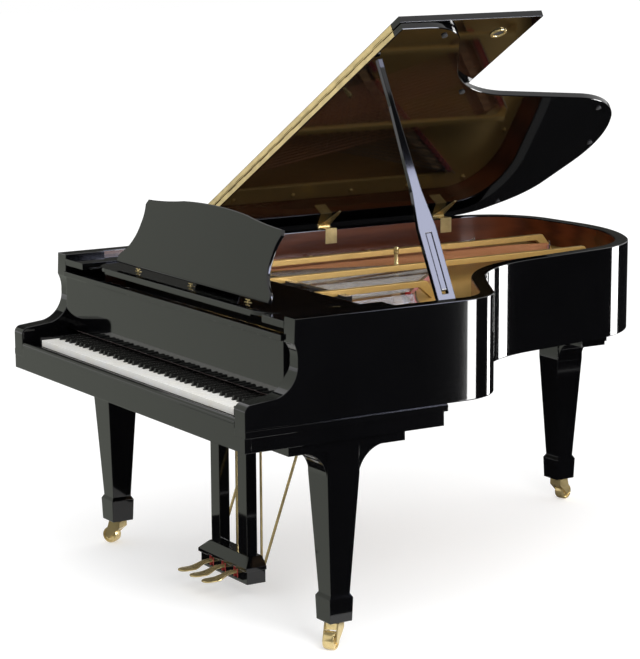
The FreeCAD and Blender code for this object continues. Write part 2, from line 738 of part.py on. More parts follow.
def string_line(note):
    """Agraffe point, direction, length beyond the agraffe and radius of one note's string."""
    if note < BASS_NOTE_COUNT:
        share = note / (BASS_NOTE_COUNT - 1)
        length = BASS_LENGTH - BASS_SHORTENING * share
        tilt = math.radians(BASS_TILT + (BASS_END_TILT - BASS_TILT) * share)
        radius = BASS_STRING_RADIUS + (TENOR_STRING_RADIUS - BASS_STRING_RADIUS) * share
        start = V(note_x(note), AGRAFFE_Y, STRING_Z + BASS_STRING_LIFT + radius - BASS_STRING_RADIUS)
        return start, V(math.sin(tilt), math.cos(tilt), 0), length, radius
    share = (note - BASS_NOTE_COUNT) / (NOTE_COUNT - 1 - BASS_NOTE_COUNT)
    length = TOP_LENGTH + (TENOR_LENGTH - TOP_LENGTH) * (1 - share) ** LENGTH_POWER
    tilt = math.radians(TENOR_TILT + (TOP_TILT - TENOR_TILT) * share)
    radius = TENOR_STRING_RADIUS + (TOP_STRING_RADIUS - TENOR_STRING_RADIUS) * share
    start = V(note_x(note), AGRAFFE_Y, STRING_Z + radius - TENOR_STRING_RADIUS)
    return start, V(-math.sin(tilt), math.cos(tilt), 0), length, radius


def string_front(note):
    """Point where a note's string leaves the tuning pins."""
    start, along, length, radius = string_line(note)
    return start - along * ((AGRAFFE_Y - STRING_START) / along.y)


def string_end(note):
    """Point where a note's string reaches its hitch pin."""
    start, along, length, radius = string_line(note)
    return start + along * length


def strings():
    """One string for each note."""
    wires = []
    for note in range(NOTE_COUNT):
        wires.append(rod(string_front(note), string_end(note), string_line(note)[3]))
    return Part.makeCompound(wires)


def hitch_pins():
    """Short pins on the plate, one behind the end of each string."""
    pins = []
    for note in range(NOTE_COUNT):
        start, along, length, radius = string_line(note)
        place = string_end(note) + along * HITCH_SETBACK
        foot = V(place.x, place.y, PLATE_TOP)
        pins.append(rod(foot, V(place.x, place.y, place.z + HITCH_PIN_RISE), HITCH_PIN_RADIUS))
    return Part.makeCompound(pins)


def tuning_pins():
    """Pins in staggered rows, driven through the plate into the pin block."""
    pins = []
    for note in range(NOTE_COUNT):
        y = STRING_START - TUNING_PIN_RADIUS - 1 - (note % TUNING_PIN_ROW_COUNT) * TUNING_PIN_ROW_STEP
        foot = V(note_x(note), y, PLATE_TOP - TUNING_PIN_DEPTH)
        pins.append(rod(foot, foot + Z_AXIS * (TUNING_PIN_DEPTH + TUNING_PIN_RISE), TUNING_PIN_RADIUS))
    return Part.makeCompound(pins)


def pin_block():
    """Laminated block under the front of the plate, glued between the rim's sides."""
    top = PLATE_TOP - PLATE_THICKNESS
    return block(-RIM_INSIDE, RIM_INSIDE, PIN_BLOCK_FRONT, PIN_BLOCK_REAR, top - PIN_BLOCK_HEIGHT, top)


def bridge_strip(notes, half_width, z0, z1):
    """Upright strip through the bridge points of some notes."""
    centres = [bridge_point(note) for note in notes]
    left = []
    right = []
    for i in range(len(centres)):
        ahead = centres[min(i + 1, len(centres) - 1)]
        behind = centres[max(i - 1, 0)]
        along = V(ahead.x - behind.x, ahead.y - behind.y, 0).normalize()
        across = Z_AXIS.cross(along) * half_width
        left.append((centres[i].x + across.x, centres[i].y + across.y))
        right.append((centres[i].x - across.x, centres[i].y - across.y))
    return plan_prism(left + right[::-1], z0, z1)


def bridges():
    """Long bridge under the plain strings and bass bridge under the wound ones."""
    long_notes = list(range(BASS_NOTE_COUNT, NOTE_COUNT - 1, 6)) + [NOTE_COUNT - 1]
    plain_top = STRING_Z - TENOR_STRING_RADIUS - SEAT_GAP
    bass_top = STRING_Z + BASS_STRING_LIFT - BASS_STRING_RADIUS - SEAT_GAP
    half = BRIDGE_WIDTH / 2
    long_bridge = bridge_strip(long_notes, half, SOUNDBOARD_TOP, plain_top)
    bass_bridge = bridge_strip([0, BASS_NOTE_COUNT - 1], half, SOUNDBOARD_TOP, bass_top)
    return Part.makeCompound([long_bridge, bass_bridge])


def shelf_point(note):
    """Plan point on a string, just before the plate's shelf for its hitch pin."""
    start, along, length, radius = string_line(note)
    point = start + along * (length - HITCH_SHELF)
    return (point.x, point.y)


def string_window():
    """Opening in the plate over the soundboard, from the hammer gap to the shelf of hitch pins."""
    side = RIM_INSIDE - PLATE_RIM_GAP - PLATE_SIDE
    notes = list(range(NOTE_COUNT - 1, BASS_NOTE_COUNT, -8)) + [BASS_NOTE_COUNT]
    shelf = [shelf_point(note) for note in notes]
    points = [(-side, WINDOW_FRONT), (side, WINDOW_FRONT), (side, shelf[0][1])]
    points += shelf
    points.append((-side, shelf[-1][1]))
    return plan_prism(points, SOUNDBOARD_TOP - 1, PLATE_TOP + 1)


def bridge_point(note):
    """Point on a string above its bridge."""
    start, along, length, radius = string_line(note)
    return start + along * (length - BRIDGE_SETBACK)


def bass_window():
    """Opening in the plate round the bass bridge."""
    a = bridge_point(0)
    b = bridge_point(BASS_NOTE_COUNT - 1)
    along = (b - a).normalize()
    across = Z_AXIS.cross(along) * BASS_WINDOW_HALF
    a = a - along * BASS_WINDOW_END
    b = b + along * BASS_WINDOW_END
    corners = [a - across, b - across, b + across, a + across]
    return plan_prism([(p.x, p.y) for p in corners], SOUNDBOARD_TOP - 1, PLATE_TOP + 1)


def strut(gap):
    """Bar in one gap between the string sections, over the strings and down to the plate behind them."""
    x = (SECTIONS[gap][2] + SECTIONS[gap + 1][1]) / 2 - STRUT_OFFSET
    rear = STRUT_REARS[gap]
    front_foot = STRUT_FRONT + STRUT_FOOT
    rear_foot = rear - STRUT_FOOT
    low = PLATE_TOP + STRUT_RISE
    top = low + STRUT_HEIGHT
    side = [(STRUT_FRONT, PLATE_TOP), (front_foot, PLATE_TOP), (front_foot, low), (rear_foot - STRUT_RAMP, low),
            (rear_foot, PLATE_TOP), (rear, PLATE_TOP), (rear - STRUT_RAMP, top), (STRUT_FRONT, top)]
    return side_prism(side, x - STRUT_WIDTH / 2, x + STRUT_WIDTH / 2)


def agraffe_ridge():
    """Low ridge across the front of the plate that the strings pass over."""
    y0 = AGRAFFE_Y - AGRAFFE_WIDTH
    plain = STRING_Z - TENOR_STRING_RADIUS - SEAT_GAP
    bass = STRING_Z + BASS_STRING_LIFT - BASS_STRING_RADIUS - SEAT_GAP
    pieces = []
    first = 0
    for count, start, end in SECTIONS:
        top = bass if first < BASS_NOTE_COUNT else plain
        pieces.append(block(start - AGRAFFE_WIDTH, end + AGRAFFE_WIDTH, y0, AGRAFFE_Y, PLATE_TOP, top))
        first += count
    return pieces


def iron_plate():
    """Cast plate: a web with windows for the hammers and strings, a lip below and struts above."""
    inset = RIM_THICKNESS + PLATE_RIM_GAP
    under = PLATE_TOP - PLATE_THICKNESS
    web = prism(case_outline(inset, PIN_BLOCK_FRONT), under, PLATE_TOP)
    lip = band(inset, PLATE_LIP, STRIKE_REAR, PLATE_FRONT_LIP, SOUNDBOARD_TOP, under)
    side = RIM_INSIDE - PLATE_RIM_GAP - PLATE_SIDE / 2
    strike = block(-side, side, PLATE_FRONT_REAR, STRIKE_REAR, under - 1, PLATE_TOP + 1)
    web = web.cut(strike).cut(string_window()).cut(bass_window())
    for inset, y in PLATE_HOLES:
        x = RIM_INSIDE - inset
        web = web.cut(rod(V(x, y, under - 1), V(x, y, PLATE_TOP + 1), PLATE_HOLE_RADIUS))
    struts = [strut(i) for i in range(len(STRUT_REARS))]
    return fused(web, lip, *agraffe_ridge(), *struts)


def soundboard():
    """Thin spruce panel on the inner rim."""
    outline = case_outline(RIM_THICKNESS + GLUE_LINE, BELLY_Y)
    return prism(outline, SOUNDBOARD_TOP - SOUNDBOARD_THICKNESS, SOUNDBOARD_TOP)


def well(z0, z1):
    """Space inside the inner rim."""
    inset = RIM_THICKNESS + GLUE_LINE + INNER_RIM_THICKNESS
    return prism(case_outline(inset, BELLY_Y + BELLY_THICKNESS), z0, z1)


def soundboard_ribs():
    """Parallel ribs across the underside of the soundboard, cut to the inner rim."""
    top = SOUNDBOARD_TOP - SOUNDBOARD_THICKNESS
    room = well(top - RIB_HEIGHT, top)
    ribs = []
    for i in range(RIB_COUNT):
        y = RIB_FIRST + i * RIB_SPACING
        bar = block(-CASE_WIDTH, CASE_WIDTH, -RIB_WIDTH / 2, RIB_WIDTH / 2, top - RIB_HEIGHT, top)
        bar.rotate(V(0, 0, 0), Z_AXIS, RIB_ANGLE)
        bar.translate(V(RIB_MIDDLE_X, y, 0))
        ribs += [piece for piece in bar.common(room).Solids]
    return Part.makeCompound(ribs)


def back_posts():
    """Beams that fan out from the tail to the belly rail, under the ribs."""
    low = RIM_BOTTOM + POST_RISE
    room = well(low, low + POST_HEIGHT)
    posts = []
    for foot, head in zip(POST_FEET, POST_HEADS):
        half = POST_WIDTH / 2
        points = [(foot - half, BELLY_Y), (foot + half, BELLY_Y), (head + half, TAIL_Y), (head - half, TAIL_Y)]
        posts.append(plan_prism(points, low, low + POST_HEIGHT).common(room).Solids[0])
    return Part.makeCompound(posts)


def hammers():
    """A shank and a head for each note."""
    pieces = []
    face = HAMMER_Y - HAMMER_DEPTH / 2
    rail = ACTION_RAIL_FRONT + ACTION_RAIL_DEPTH
    for note in range(NOTE_COUNT):
        x = note_x(note)
        pieces.append(rod(V(x, rail, SHANK_Z), V(x, face, SHANK_Z), SHANK_RADIUS))
        top = HAMMER_BOTTOM + HAMMER_HEIGHT
        middle = face + HAMMER_DEPTH / 2
        rear = face + HAMMER_DEPTH
        shape = [(face + HAMMER_FOOT_INSET, HAMMER_BOTTOM), (rear - HAMMER_FOOT_INSET, HAMMER_BOTTOM),
                 (rear - HAMMER_FOOT_INSET, top - HAMMER_WAIST), (rear, top - HAMMER_SHOULDER),
                 (middle + HAMMER_NOSE, top), (middle - HAMMER_NOSE, top), (face, top - HAMMER_SHOULDER),
                 (face, HAMMER_BOTTOM + HAMMER_TOE)]
        pieces.append(side_prism(shape, x - HAMMER_WIDTH / 2, x + HAMMER_WIDTH / 2))
    return Part.makeCompound(pieces)


def action_frame():
    """Rail that carries the hammers, on brackets that stand on the key frame."""
    x = KEY_SPAN / 2
    bottom = RIM_BOTTOM + SEAT_GAP + ACTION_BASE_HEIGHT
    rail_bottom = SHANK_Z - ACTION_RAIL_HEIGHT / 2
    rail_rear = ACTION_RAIL_FRONT + ACTION_RAIL_DEPTH
    rail = block(-x, x, ACTION_RAIL_FRONT, rail_rear, rail_bottom, rail_bottom + ACTION_RAIL_HEIGHT)
    brackets = []
    for i in range(FRAME_BAR_COUNT):
        centre = -x + RAIL_WIDTH + i * (2 * x - 2 * RAIL_WIDTH) / (FRAME_BAR_COUNT - 1)
        brackets.append(block(centre - ACTION_BRACKET / 2, centre + ACTION_BRACKET / 2,
                              ACTION_RAIL_FRONT, ACTION_RAIL_FRONT + ACTION_BASE_DEPTH, bottom, rail_bottom))
    return fused(rail, *brackets)


def damper_pieces(low, high):
    """One block above each damped string, from low to high over the string's top."""
    pieces = []
    for note in range(DAMPED_NOTE_COUNT):
        start, along, length, radius = string_line(note)
        x = start.x + along.x * (DAMPER_Y - AGRAFFE_Y) / along.y
        top = start.z + radius
        pieces.append(block(x - DAMPER_WIDTH / 2, x + DAMPER_WIDTH / 2,
                            DAMPER_Y - DAMPER_DEPTH / 2, DAMPER_Y + DAMPER_DEPTH / 2, top + low, top + high))
    return Part.makeCompound(pieces)


def damper_felts():
    """Felt that rests on the strings."""
    return damper_pieces(SEAT_GAP, SEAT_GAP + DAMPER_FELT)


def damper_heads():
    """Wooden heads on the felts."""
    return damper_pieces(SEAT_GAP + DAMPER_FELT, SEAT_GAP + DAMPER_FELT + DAMPER_HEAD)


def fallboard():
    """Flat key cover with a lip along its edge, and a lug and pin at each arm."""
    x = ARM_INSIDE - FALLBOARD_SIDE_GAP
    back = FALLBOARD_FACE + FALLBOARD_THICKNESS
    board = block(-x, x, FALLBOARD_FACE, back, FALLBOARD_BOTTOM, FALLBOARD_TOP)
    lip_face = FALLBOARD_FACE - FALLBOARD_LIP_OUT
    lip = block(-x, x, lip_face, FALLBOARD_FACE, FALLBOARD_TOP - FALLBOARD_LIP, FALLBOARD_TOP)
    half = FALLBOARD_LUG / 2
    lug = block(x - FALLBOARD_LUG, x, back - 1, FALLBOARD_AXIS.y + half,
                FALLBOARD_AXIS.z - half, FALLBOARD_AXIS.z + half)
    reach = ARM_INSIDE + FALLBOARD_PIN_REACH
    pin = rod(FALLBOARD_AXIS + X_AXIS * (x - half), FALLBOARD_AXIS + X_AXIS * reach, FALLBOARD_PIN_RADIUS)
    return fused(board, lip, lug, pin, mirrored(lug), mirrored(pin))


def tray_rails():
    """Side rails between the arms, each with a ledge that the tray slides on."""
    inside = TRAY_HALF_WIDTH + SEAT_GAP
    low = TRAY_TOP - TRAY_THICKNESS - SEAT_GAP - TRAY_LEDGE_HEIGHT
    high = TRAY_TOP + TRAY_RAIL_RISE
    front = block(inside, ARM_INSIDE, TRAY_RAIL_FRONT, ARM_LENGTH, low, high)
    rear = block(inside, RIM_INSIDE, ARM_LENGTH, TRAY_RAIL_REAR, low, high)
    ledge = block(inside - TRAY_LEDGE, inside, TRAY_FRONT, TRAY_RAIL_REAR, low, low + TRAY_LEDGE_HEIGHT)
    right = fused(front, rear, ledge)
    return Part.makeCompound([mirrored(right), right])


def music_tray():
    """Sliding tray with rounded front corners and a shallow apron."""
    corners = [
        (V(-TRAY_HALF_WIDTH, TRAY_FRONT, 0), TRAY_CORNER),
        (V(TRAY_HALF_WIDTH, TRAY_FRONT, 0), TRAY_CORNER),
        (V(TRAY_HALF_WIDTH, TRAY_REAR, 0), 0),
        (V(-TRAY_HALF_WIDTH, TRAY_REAR, 0), 0),
    ]
    under = TRAY_TOP - TRAY_THICKNESS
    board = prism(rounded_wire(corners), under, TRAY_TOP)
    apron = block(-TRAY_APRON_HALF_WIDTH, TRAY_APRON_HALF_WIDTH, TRAY_FRONT, TRAY_FRONT + TRAY_APRON_DEPTH,
                  under - TRAY_APRON, under)
    return fused(board, apron)


def desk_placed(shape):
    """Lean a shape that is drawn upright on the desk's hinge line, with its back at y = 0."""
    leant = shape.copy()
    leant.translate(DESK_AXIS)
    leant.rotate(DESK_AXIS, X_AXIS, -DESK_LEAN)
    return leant


def desk_outline():
    """Upright outline of the desk in the plane y = 0, with z = 0 on its hinge line."""
    def at(inset, z):
        """Point at an inset from the desk's widest half width."""
        return V(DESK_HALF_WIDTH - inset, 0, z)

    def between(a, b, across, along):
        """Point a share of the way across and along from a to b."""
        return V(a.x + (b.x - a.x) * across, 0, a.z + (b.z - a.z) * along)

    base = at(0, DESK_FOOT)
    hip = at(DESK_HIP_INSET, DESK_HIP_RISE)
    waist = at(DESK_WAIST_INSET, DESK_WAIST_RISE)
    corner = at(DESK_CORNER_INSET, DESK_CORNER_RISE)
    cut = corner + V(-DESK_CORNER_CUT, 0, DESK_CORNER_CUT_RISE)
    shoulder = at(DESK_SHOULDER_INSET, DESK_SHOULDER_RISE)
    right = [
        arc(base, at(-DESK_FOOT_SWELL, DESK_HIP_RISE / 2), hip),
        arc(hip, between(hip, waist, 0.77, 0.45), waist),
        arc(waist, between(waist, corner, 0.31, 0.667), corner),
        Part.makeLine(corner, cut),
        arc(cut, between(cut, shoulder, 0.48, 0.316), shoulder),
    ]
    left = [edge.mirror(V(0, 0, 0), X_AXIS) for edge in reversed(right)]
    crown = arc(shoulder, V(0, 0, DESK_TOP_RISE), V(-shoulder.x, 0, shoulder.z))
    foot = Part.makeLine(V(-base.x, 0, base.z), base)
    return Part.Wire(Part.__sortEdges__(right + [crown] + left + [foot]))


def music_desk():
    """Shaped desk panel with knuckles for its hinges and lugs that carry the stay's pins."""
    panel = Part.Face(desk_outline()).extrude(V(0, -DESK_THICKNESS, 0))
    for x in (-DESK_HINGE_SPACING, 0, DESK_HINGE_SPACING):
        third = DESK_HINGE_WIDTH / 6
        knuckle = rod(V(x - third, 0, 0), V(x + third, 0, 0), DESK_HINGE_RADIUS)
        web = block(x - third, x + third, -DESK_HINGE_RADIUS, 0, 0, DESK_FOOT + 1)
        bore = rod(V(x - third - 1, 0, 0), V(x + third + 1, 0, 0), DESK_HINGE_PIN_RADIUS + PIN_GAP)
        panel = panel.fuse([knuckle, web]).cut(bore)
    for side in (-1, 1):
        inner = side * (STAY_WIDTH / 2 + SEAT_GAP)
        outer = inner + side * STAY_LUG
        lug = block(min(inner, outer), max(inner, outer), -1, STAY_OFFSET + STAY_PIN_RADIUS + 1,
                    STAY_HINGE_RISE - STAY_LUG, STAY_HINGE_RISE + STAY_LUG)
        pin_end = V(inner - side * STAY_PIN_REACH, STAY_OFFSET, STAY_HINGE_RISE)
        pin = rod(V(outer, STAY_OFFSET, STAY_HINGE_RISE), pin_end, STAY_PIN_RADIUS)
        panel = panel.fuse([lug, pin])
    return desk_placed(panel.removeSplitter())


def desk_stay():
    """Flat board behind the desk, from its pins to the tray."""
    low = -STAY_WIDTH / 2
    half = STAY_THICKNESS / 2
    board = block(low, -low, -half, half, 0, STAY_LENGTH)
    ends = [rod(V(low, 0, z), V(-low, 0, z), half) for z in (0, STAY_LENGTH)]
    stay = fused(board, *ends)
    for side in (-1, 1):
        bore_end = V(side * (STAY_WIDTH / 2 - STAY_PIN_REACH - 1), 0, 0)
        stay = stay.cut(rod(V(side * STAY_WIDTH, 0, 0), bore_end, STAY_PIN_RADIUS + PIN_GAP))
    stay.rotate(V(0, 0, 0), X_AXIS, -STAY_TURN)
    stay.translate(V(0, STAY_OFFSET, STAY_HINGE_RISE))
    return desk_placed(stay)


def desk_hinges():
    """Tray halves of the desk hinges: a leaf, two knuckles and a pin each."""
    pieces = []
    for x in (-DESK_HINGE_SPACING, 0, DESK_HINGE_SPACING):
        half = DESK_HINGE_WIDTH / 2
        third = DESK_HINGE_WIDTH / 6
        leaf = block(x - half, x + half, DESK_AXIS_Y - DESK_HINGE_LEAF_LENGTH, DESK_AXIS_Y,
                     TRAY_TOP, TRAY_TOP + DESK_HINGE_LEAF)
        hinge = leaf
        for a, b in ((x - half, x - third - SEAT_GAP), (x + third + SEAT_GAP, x + half)):
            knuckle = rod(DESK_AXIS + X_AXIS * a, DESK_AXIS + X_AXIS * b, DESK_HINGE_RADIUS)
            web = block(a, b, DESK_AXIS_Y - DESK_HINGE_RADIUS, DESK_AXIS_Y, TRAY_TOP, DESK_AXIS.z)
            hinge = hinge.fuse([knuckle, web])
        pin = rod(DESK_AXIS + X_AXIS * (x - half), DESK_AXIS + X_AXIS * (x + half), DESK_HINGE_PIN_RADIUS)
        pieces.append(hinge.fuse(pin).removeSplitter())
    return Part.makeCompound(pieces)


def lid_board(front, rear):
    """Part of the closed lid between two y values."""
    board = prism(case_outline(-LID_OVERHANG, FLAP_FRONT), LID_UNDER, LID_TOP)
    reach = CASE_WIDTH
    return board.common(block(-reach, reach, front, rear, LID_UNDER, LID_TOP))


def flap_hinge_relief():
    """Room for the long hinge's knuckles along the split of the lid."""
    start = V(FLAP_HINGE_START - 1, FLAP_AXIS.y, FLAP_AXIS.z)
    end = V(FLAP_HINGE_END + 1, FLAP_AXIS.y, FLAP_AXIS.z)
    return rod(start, end, FLAP_HINGE_RADIUS + FLAP_HINGE_RELIEF)


def lid_main():
    """Rear leaf of the lid, with room for its hinges."""
    board = lid_board(LID_SPLIT_Y + FLAP_LEAF, TAIL_Y + LID_OVERHANG).cut(flap_hinge_relief())
    for y in LID_HINGE_PLACES:
        half = LID_HINGE_WIDTH / 2 + LID_HINGE_RELIEF
        board = board.cut(rod(LID_AXIS + Y_AXIS * (y - half), LID_AXIS + Y_AXIS * (y + half),
                              LID_HINGE_RADIUS + LID_HINGE_RELIEF))
    return lid_raised(board)


def lid_flap():
    """Front leaf of the lid, folded back on to the rear leaf."""
    return flap_folded(lid_board(FLAP_FRONT, LID_SPLIT_Y - FLAP_LEAF).cut(flap_hinge_relief()))


def flap_knuckles(first):
    """Every second knuckle of the long hinge, starting at first, as (start, end) values of x."""
    pitch = (FLAP_HINGE_END - FLAP_HINGE_START) / FLAP_HINGE_KNUCKLE_COUNT
    spans = []
    for i in range(first, FLAP_HINGE_KNUCKLE_COUNT, 2):
        start = FLAP_HINGE_START + i * pitch
        spans.append((start + SEAT_GAP / 2, start + pitch - SEAT_GAP / 2))
    return spans


def flap_hinge_half(first, side):
    """One half of the long hinge on the closed lid: a leaf on the edge and its knuckles."""
    y0 = LID_SPLIT_Y if side > 0 else LID_SPLIT_Y - FLAP_LEAF
    leaf_top = LID_TOP - FLAP_HINGE_RADIUS
    leaf = block(FLAP_HINGE_START, FLAP_HINGE_END, y0, y0 + FLAP_LEAF, LID_TOP - FLAP_LEAF_HEIGHT, leaf_top)
    pieces = []
    for start, end in flap_knuckles(first):
        axis = V(0, FLAP_AXIS.y, FLAP_AXIS.z)
        pieces.append(rod(axis + X_AXIS * start, axis + X_AXIS * end, FLAP_HINGE_RADIUS))
        pieces.append(block(start, end, y0, y0 + FLAP_LEAF, leaf_top - 1, FLAP_AXIS.z))
    return leaf.fuse(pieces)


def flap_hinge_lid_leaf():
    """Lid half of the long hinge, with the pin."""
    start = V(FLAP_HINGE_START, FLAP_AXIS.y, FLAP_AXIS.z)
    end = V(FLAP_HINGE_END, FLAP_AXIS.y, FLAP_AXIS.z)
    half = flap_hinge_half(0, 1).fuse(rod(start, end, FLAP_HINGE_PIN_RADIUS))
    return lid_raised(half.removeSplitter())


def flap_hinge_flap_leaf():
    """Flap half of the long hinge, bored for the pin."""
    start = V(FLAP_HINGE_START - 1, FLAP_AXIS.y, FLAP_AXIS.z)
    end = V(FLAP_HINGE_END + 1, FLAP_AXIS.y, FLAP_AXIS.z)
    half = flap_hinge_half(1, -1).cut(rod(start, end, FLAP_HINGE_PIN_RADIUS + PIN_GAP))
    return flap_folded(half.removeSplitter())


def lid_hinge_spans(y):
    """Two outer knuckles and one middle knuckle of a lid hinge, as (start, end) values of y."""
    half = LID_HINGE_WIDTH / 2
    third = LID_HINGE_WIDTH / 6
    outer = ((y - half, y - third - SEAT_GAP), (y + third + SEAT_GAP, y + half))
    return outer, (y - third, y + third)


def lid_hinge_rim_leaves():
    """Rim halves of the lid hinges: a plate over the rim's edge, two knuckles and a pin each."""
    pieces = []
    for y in LID_HINGE_PLACES:
        half = LID_HINGE_WIDTH / 2
        outer, middle = lid_hinge_spans(y)
        top = RIM_TOP + LID_HINGE_LEAF
        inner = -RIM_INSIDE + LID_HINGE_LEAF
        flat = block(-HALF_CASE + 2, inner, y - half, y + half, RIM_TOP, top)
        drop = block(-RIM_INSIDE, inner, y - half, y + half, RIM_TOP - LID_HINGE_DROP, RIM_TOP)
        hinge = flat.fuse(drop)
        for start, end in outer:
            knuckle = rod(LID_AXIS + Y_AXIS * start, LID_AXIS + Y_AXIS * end, LID_HINGE_RADIUS)
            web = block(LID_AXIS.x, -HALF_CASE + 3, start, end, RIM_TOP, top)
            hinge = hinge.fuse([knuckle, web])
        pin = rod(LID_AXIS + Y_AXIS * (y - half), LID_AXIS + Y_AXIS * (y + half), LID_HINGE_PIN_RADIUS)
        pieces.append(hinge.fuse(pin).removeSplitter())
    return Part.makeCompound(pieces)


def lid_hinge_straps():
    """Lid halves of the lid hinges: a knuckle and a tapered strap under the lid each."""
    pieces = []
    for y in LID_HINGE_PLACES:
        outer, (start, end) = lid_hinge_spans(y)
        knuckle = rod(LID_AXIS + Y_AXIS * start, LID_AXIS + Y_AXIS * end, LID_HINGE_RADIUS)
        root = LID_AXIS.x + LID_HINGE_RADIUS + LID_HINGE_RELIEF
        half = LID_HINGE_WIDTH / 2 - 1
        tip = LID_AXIS.x + LID_HINGE_STRAP
        z0 = LID_UNDER - LID_HINGE_LEAF
        neck = block(LID_AXIS.x, root + 1, start, end, LID_AXIS.z, LID_UNDER)
        taper = plan_prism([(root, y - half), (tip, y - LID_HINGE_STRAP_TIP), (tip, y + LID_HINGE_STRAP_TIP),
                            (root, y + half)], z0, LID_UNDER)
        end_cap = rod(V(tip, y, z0), V(tip, y, LID_UNDER), LID_HINGE_STRAP_TIP)
        strap = knuckle.fuse([neck, taper, end_cap])
        bore = rod(LID_AXIS + Y_AXIS * (start - 1), LID_AXIS + Y_AXIS * (end + 1),
                   LID_HINGE_PIN_RADIUS + PIN_GAP)
        pieces.append(lid_raised(strap.cut(bore).removeSplitter()))
    return Part.makeCompound(pieces)


def lid_bumpers():
    """Rubber buttons under the lid, above the middle of the rim at each bend."""
    buttons = []
    line = case_outline(RIM_THICKNESS / 2, 0)
    for edge in line.Edges:
        if edge.Curve.TypeId != "Part::GeomCircle":
            continue
        middle = edge.valueAt((edge.FirstParameter + edge.LastParameter) / 2)
        button = rod(V(middle.x, middle.y, LID_UNDER - BUMPER_HEIGHT), V(middle.x, middle.y, LID_UNDER),
                     BUMPER_RADIUS)
        buttons.append(lid_raised(button))
    return Part.makeCompound(buttons)


def prop_axes():
    """Prop's upward direction, its broad direction and its length, from the raised lid."""
    tip = Part.Vertex(V(PROP_TIP_X, PROP_TIP_Y, LID_UNDER))
    touch = lid_raised(tip).Point
    up = (touch - PROP_PIVOT).normalize()
    broad = (Y_AXIS - up * Y_AXIS.dot(up)).normalize()
    angle = math.radians(LID_ANGLE)
    lid_normal = V(-math.sin(angle), 0, math.cos(angle))
    length = (touch - PROP_PIVOT).dot(lid_normal) - PROP_TIP_CLEARANCE
    return up, broad, length


def prop_placed(shape):
    """Stand a shape that is drawn along Z, broad along Y, on the prop's pivot."""
    up, broad, length = prop_axes()
    thin = broad.cross(up)
    matrix = FreeCAD.Matrix(thin.x, broad.x, up.x, PROP_PIVOT.x,
                            thin.y, broad.y, up.y, PROP_PIVOT.y,
                            thin.z, broad.z, up.z, PROP_PIVOT.z,
                            0, 0, 0, 1)
    placed = shape.copy()
    placed.Placement = FreeCAD.Placement(matrix)
    return placed


def lid_prop():
    """Long prop: a broad slotted foot that tapers slowly into a slim stick, bored for its pin."""
    up, broad, length = prop_axes()
    half = PROP_THICKNESS / 2
    foot = PROP_FOOT_WIDTH / 2
    shoulder = PROP_SHOULDER_WIDTH / 2
    slim = PROP_SLIM_WIDTH / 2
    tip = PROP_TIP_WIDTH / 2
    shoulder_end = PROP_WIDE_LENGTH + PROP_SHOULDER_LENGTH
    taper_end = shoulder_end + PROP_TAPER_LENGTH
    edge = [(foot, 0), (foot, PROP_WIDE_LENGTH), (shoulder, shoulder_end), (slim, taper_end), (tip, length)]
    side = edge + [(-wide, along) for wide, along in reversed(edge)]
    stick = side_prism(side, -half, half)
    stick = stick.fuse(rod(V(0, -foot, 0), V(0, foot, 0), half))
    slot_half = PROP_SLOT_WIDTH / 2
    slot_end = PROP_SLOT_START + PROP_SLOT_LENGTH
    stick = stick.cut(block(-half - 1, half + 1, -slot_half, slot_half, PROP_SLOT_START, slot_end))
    stick = stick.cut(rod(V(0, -foot - 1, 0), V(0, foot + 1, 0), PROP_PIN_RADIUS + PIN_GAP))
    pin = rod(V(0, -slot_half - 2, HALF_PROP_PIN_PLACE), V(0, slot_half + 2, HALF_PROP_PIN_PLACE),
              HALF_PROP_PIN_RADIUS)
    return prop_placed(stick.fuse(pin).removeSplitter())


def half_prop():
    """Short stick in the long prop's slot, turning on a pin at its lower end."""
    half = HALF_PROP_THICKNESS / 2
    wide = HALF_PROP_WIDTH / 2
    end = PROP_SLOT_START + PROP_SLOT_LENGTH - SEAT_GAP - 1
    bar = block(-half, half, -wide, wide, HALF_PROP_PIN_PLACE, end)
    foot = rod(V(0, -wide, HALF_PROP_PIN_PLACE), V(0, wide, HALF_PROP_PIN_PLACE), half)
    bore = rod(V(0, -wide - 1, HALF_PROP_PIN_PLACE), V(0, wide + 1, HALF_PROP_PIN_PLACE),
               HALF_PROP_PIN_RADIUS + PIN_GAP)
    return prop_placed(fused(bar, foot).cut(bore))


def prop_bracket():
    """Two ears on the rim's inner face and the prop's pin between them."""
    up, broad, length = prop_axes()
    foot = PROP_FOOT_WIDTH / 2
    far = foot + BRACKET_GAP + BRACKET_EAR
    x0 = PROP_PIVOT.x - BRACKET_REACH
    bracket = rod(PROP_PIVOT - broad * far, PROP_PIVOT + broad * far, PROP_PIN_RADIUS)
    for side in (-1, 1):
        near_y = PROP_PIVOT.y + side * (foot + BRACKET_GAP)
        far_y = near_y + side * BRACKET_EAR
        ear = block(x0, RIM_INSIDE, min(near_y, far_y), max(near_y, far_y),
                    PROP_PIVOT.z - BRACKET_HALF_HEIGHT, PROP_PIVOT.z + BRACKET_HALF_HEIGHT)
        bracket = bracket.fuse(ear)
    return bracket.removeSplitter()


def corbel(x0, x1, inner, reach, top, drop):
    """Bracket that curves out from a leg's face at y = inner to y = inner + reach under its head."""
    side = math.copysign(1, reach)
    start = V(x0, inner, top - drop)
    end = V(x0, inner + reach, top)
    middle = V(x0, inner + reach * (1 - math.sqrt(0.5)), top - drop * (1 - math.sqrt(0.5)))
    root = V(x0, inner - side, top - drop)
    head = V(x0, inner - side, top)
    edges = [
        Part.makeLine(root, start),
        arc(start, middle, end),
        Part.makeLine(end, head),
        Part.makeLine(head, root),
    ]
    return Part.Face(Part.Wire(edges)).extrude(X_AXIS * (x1 - x0))


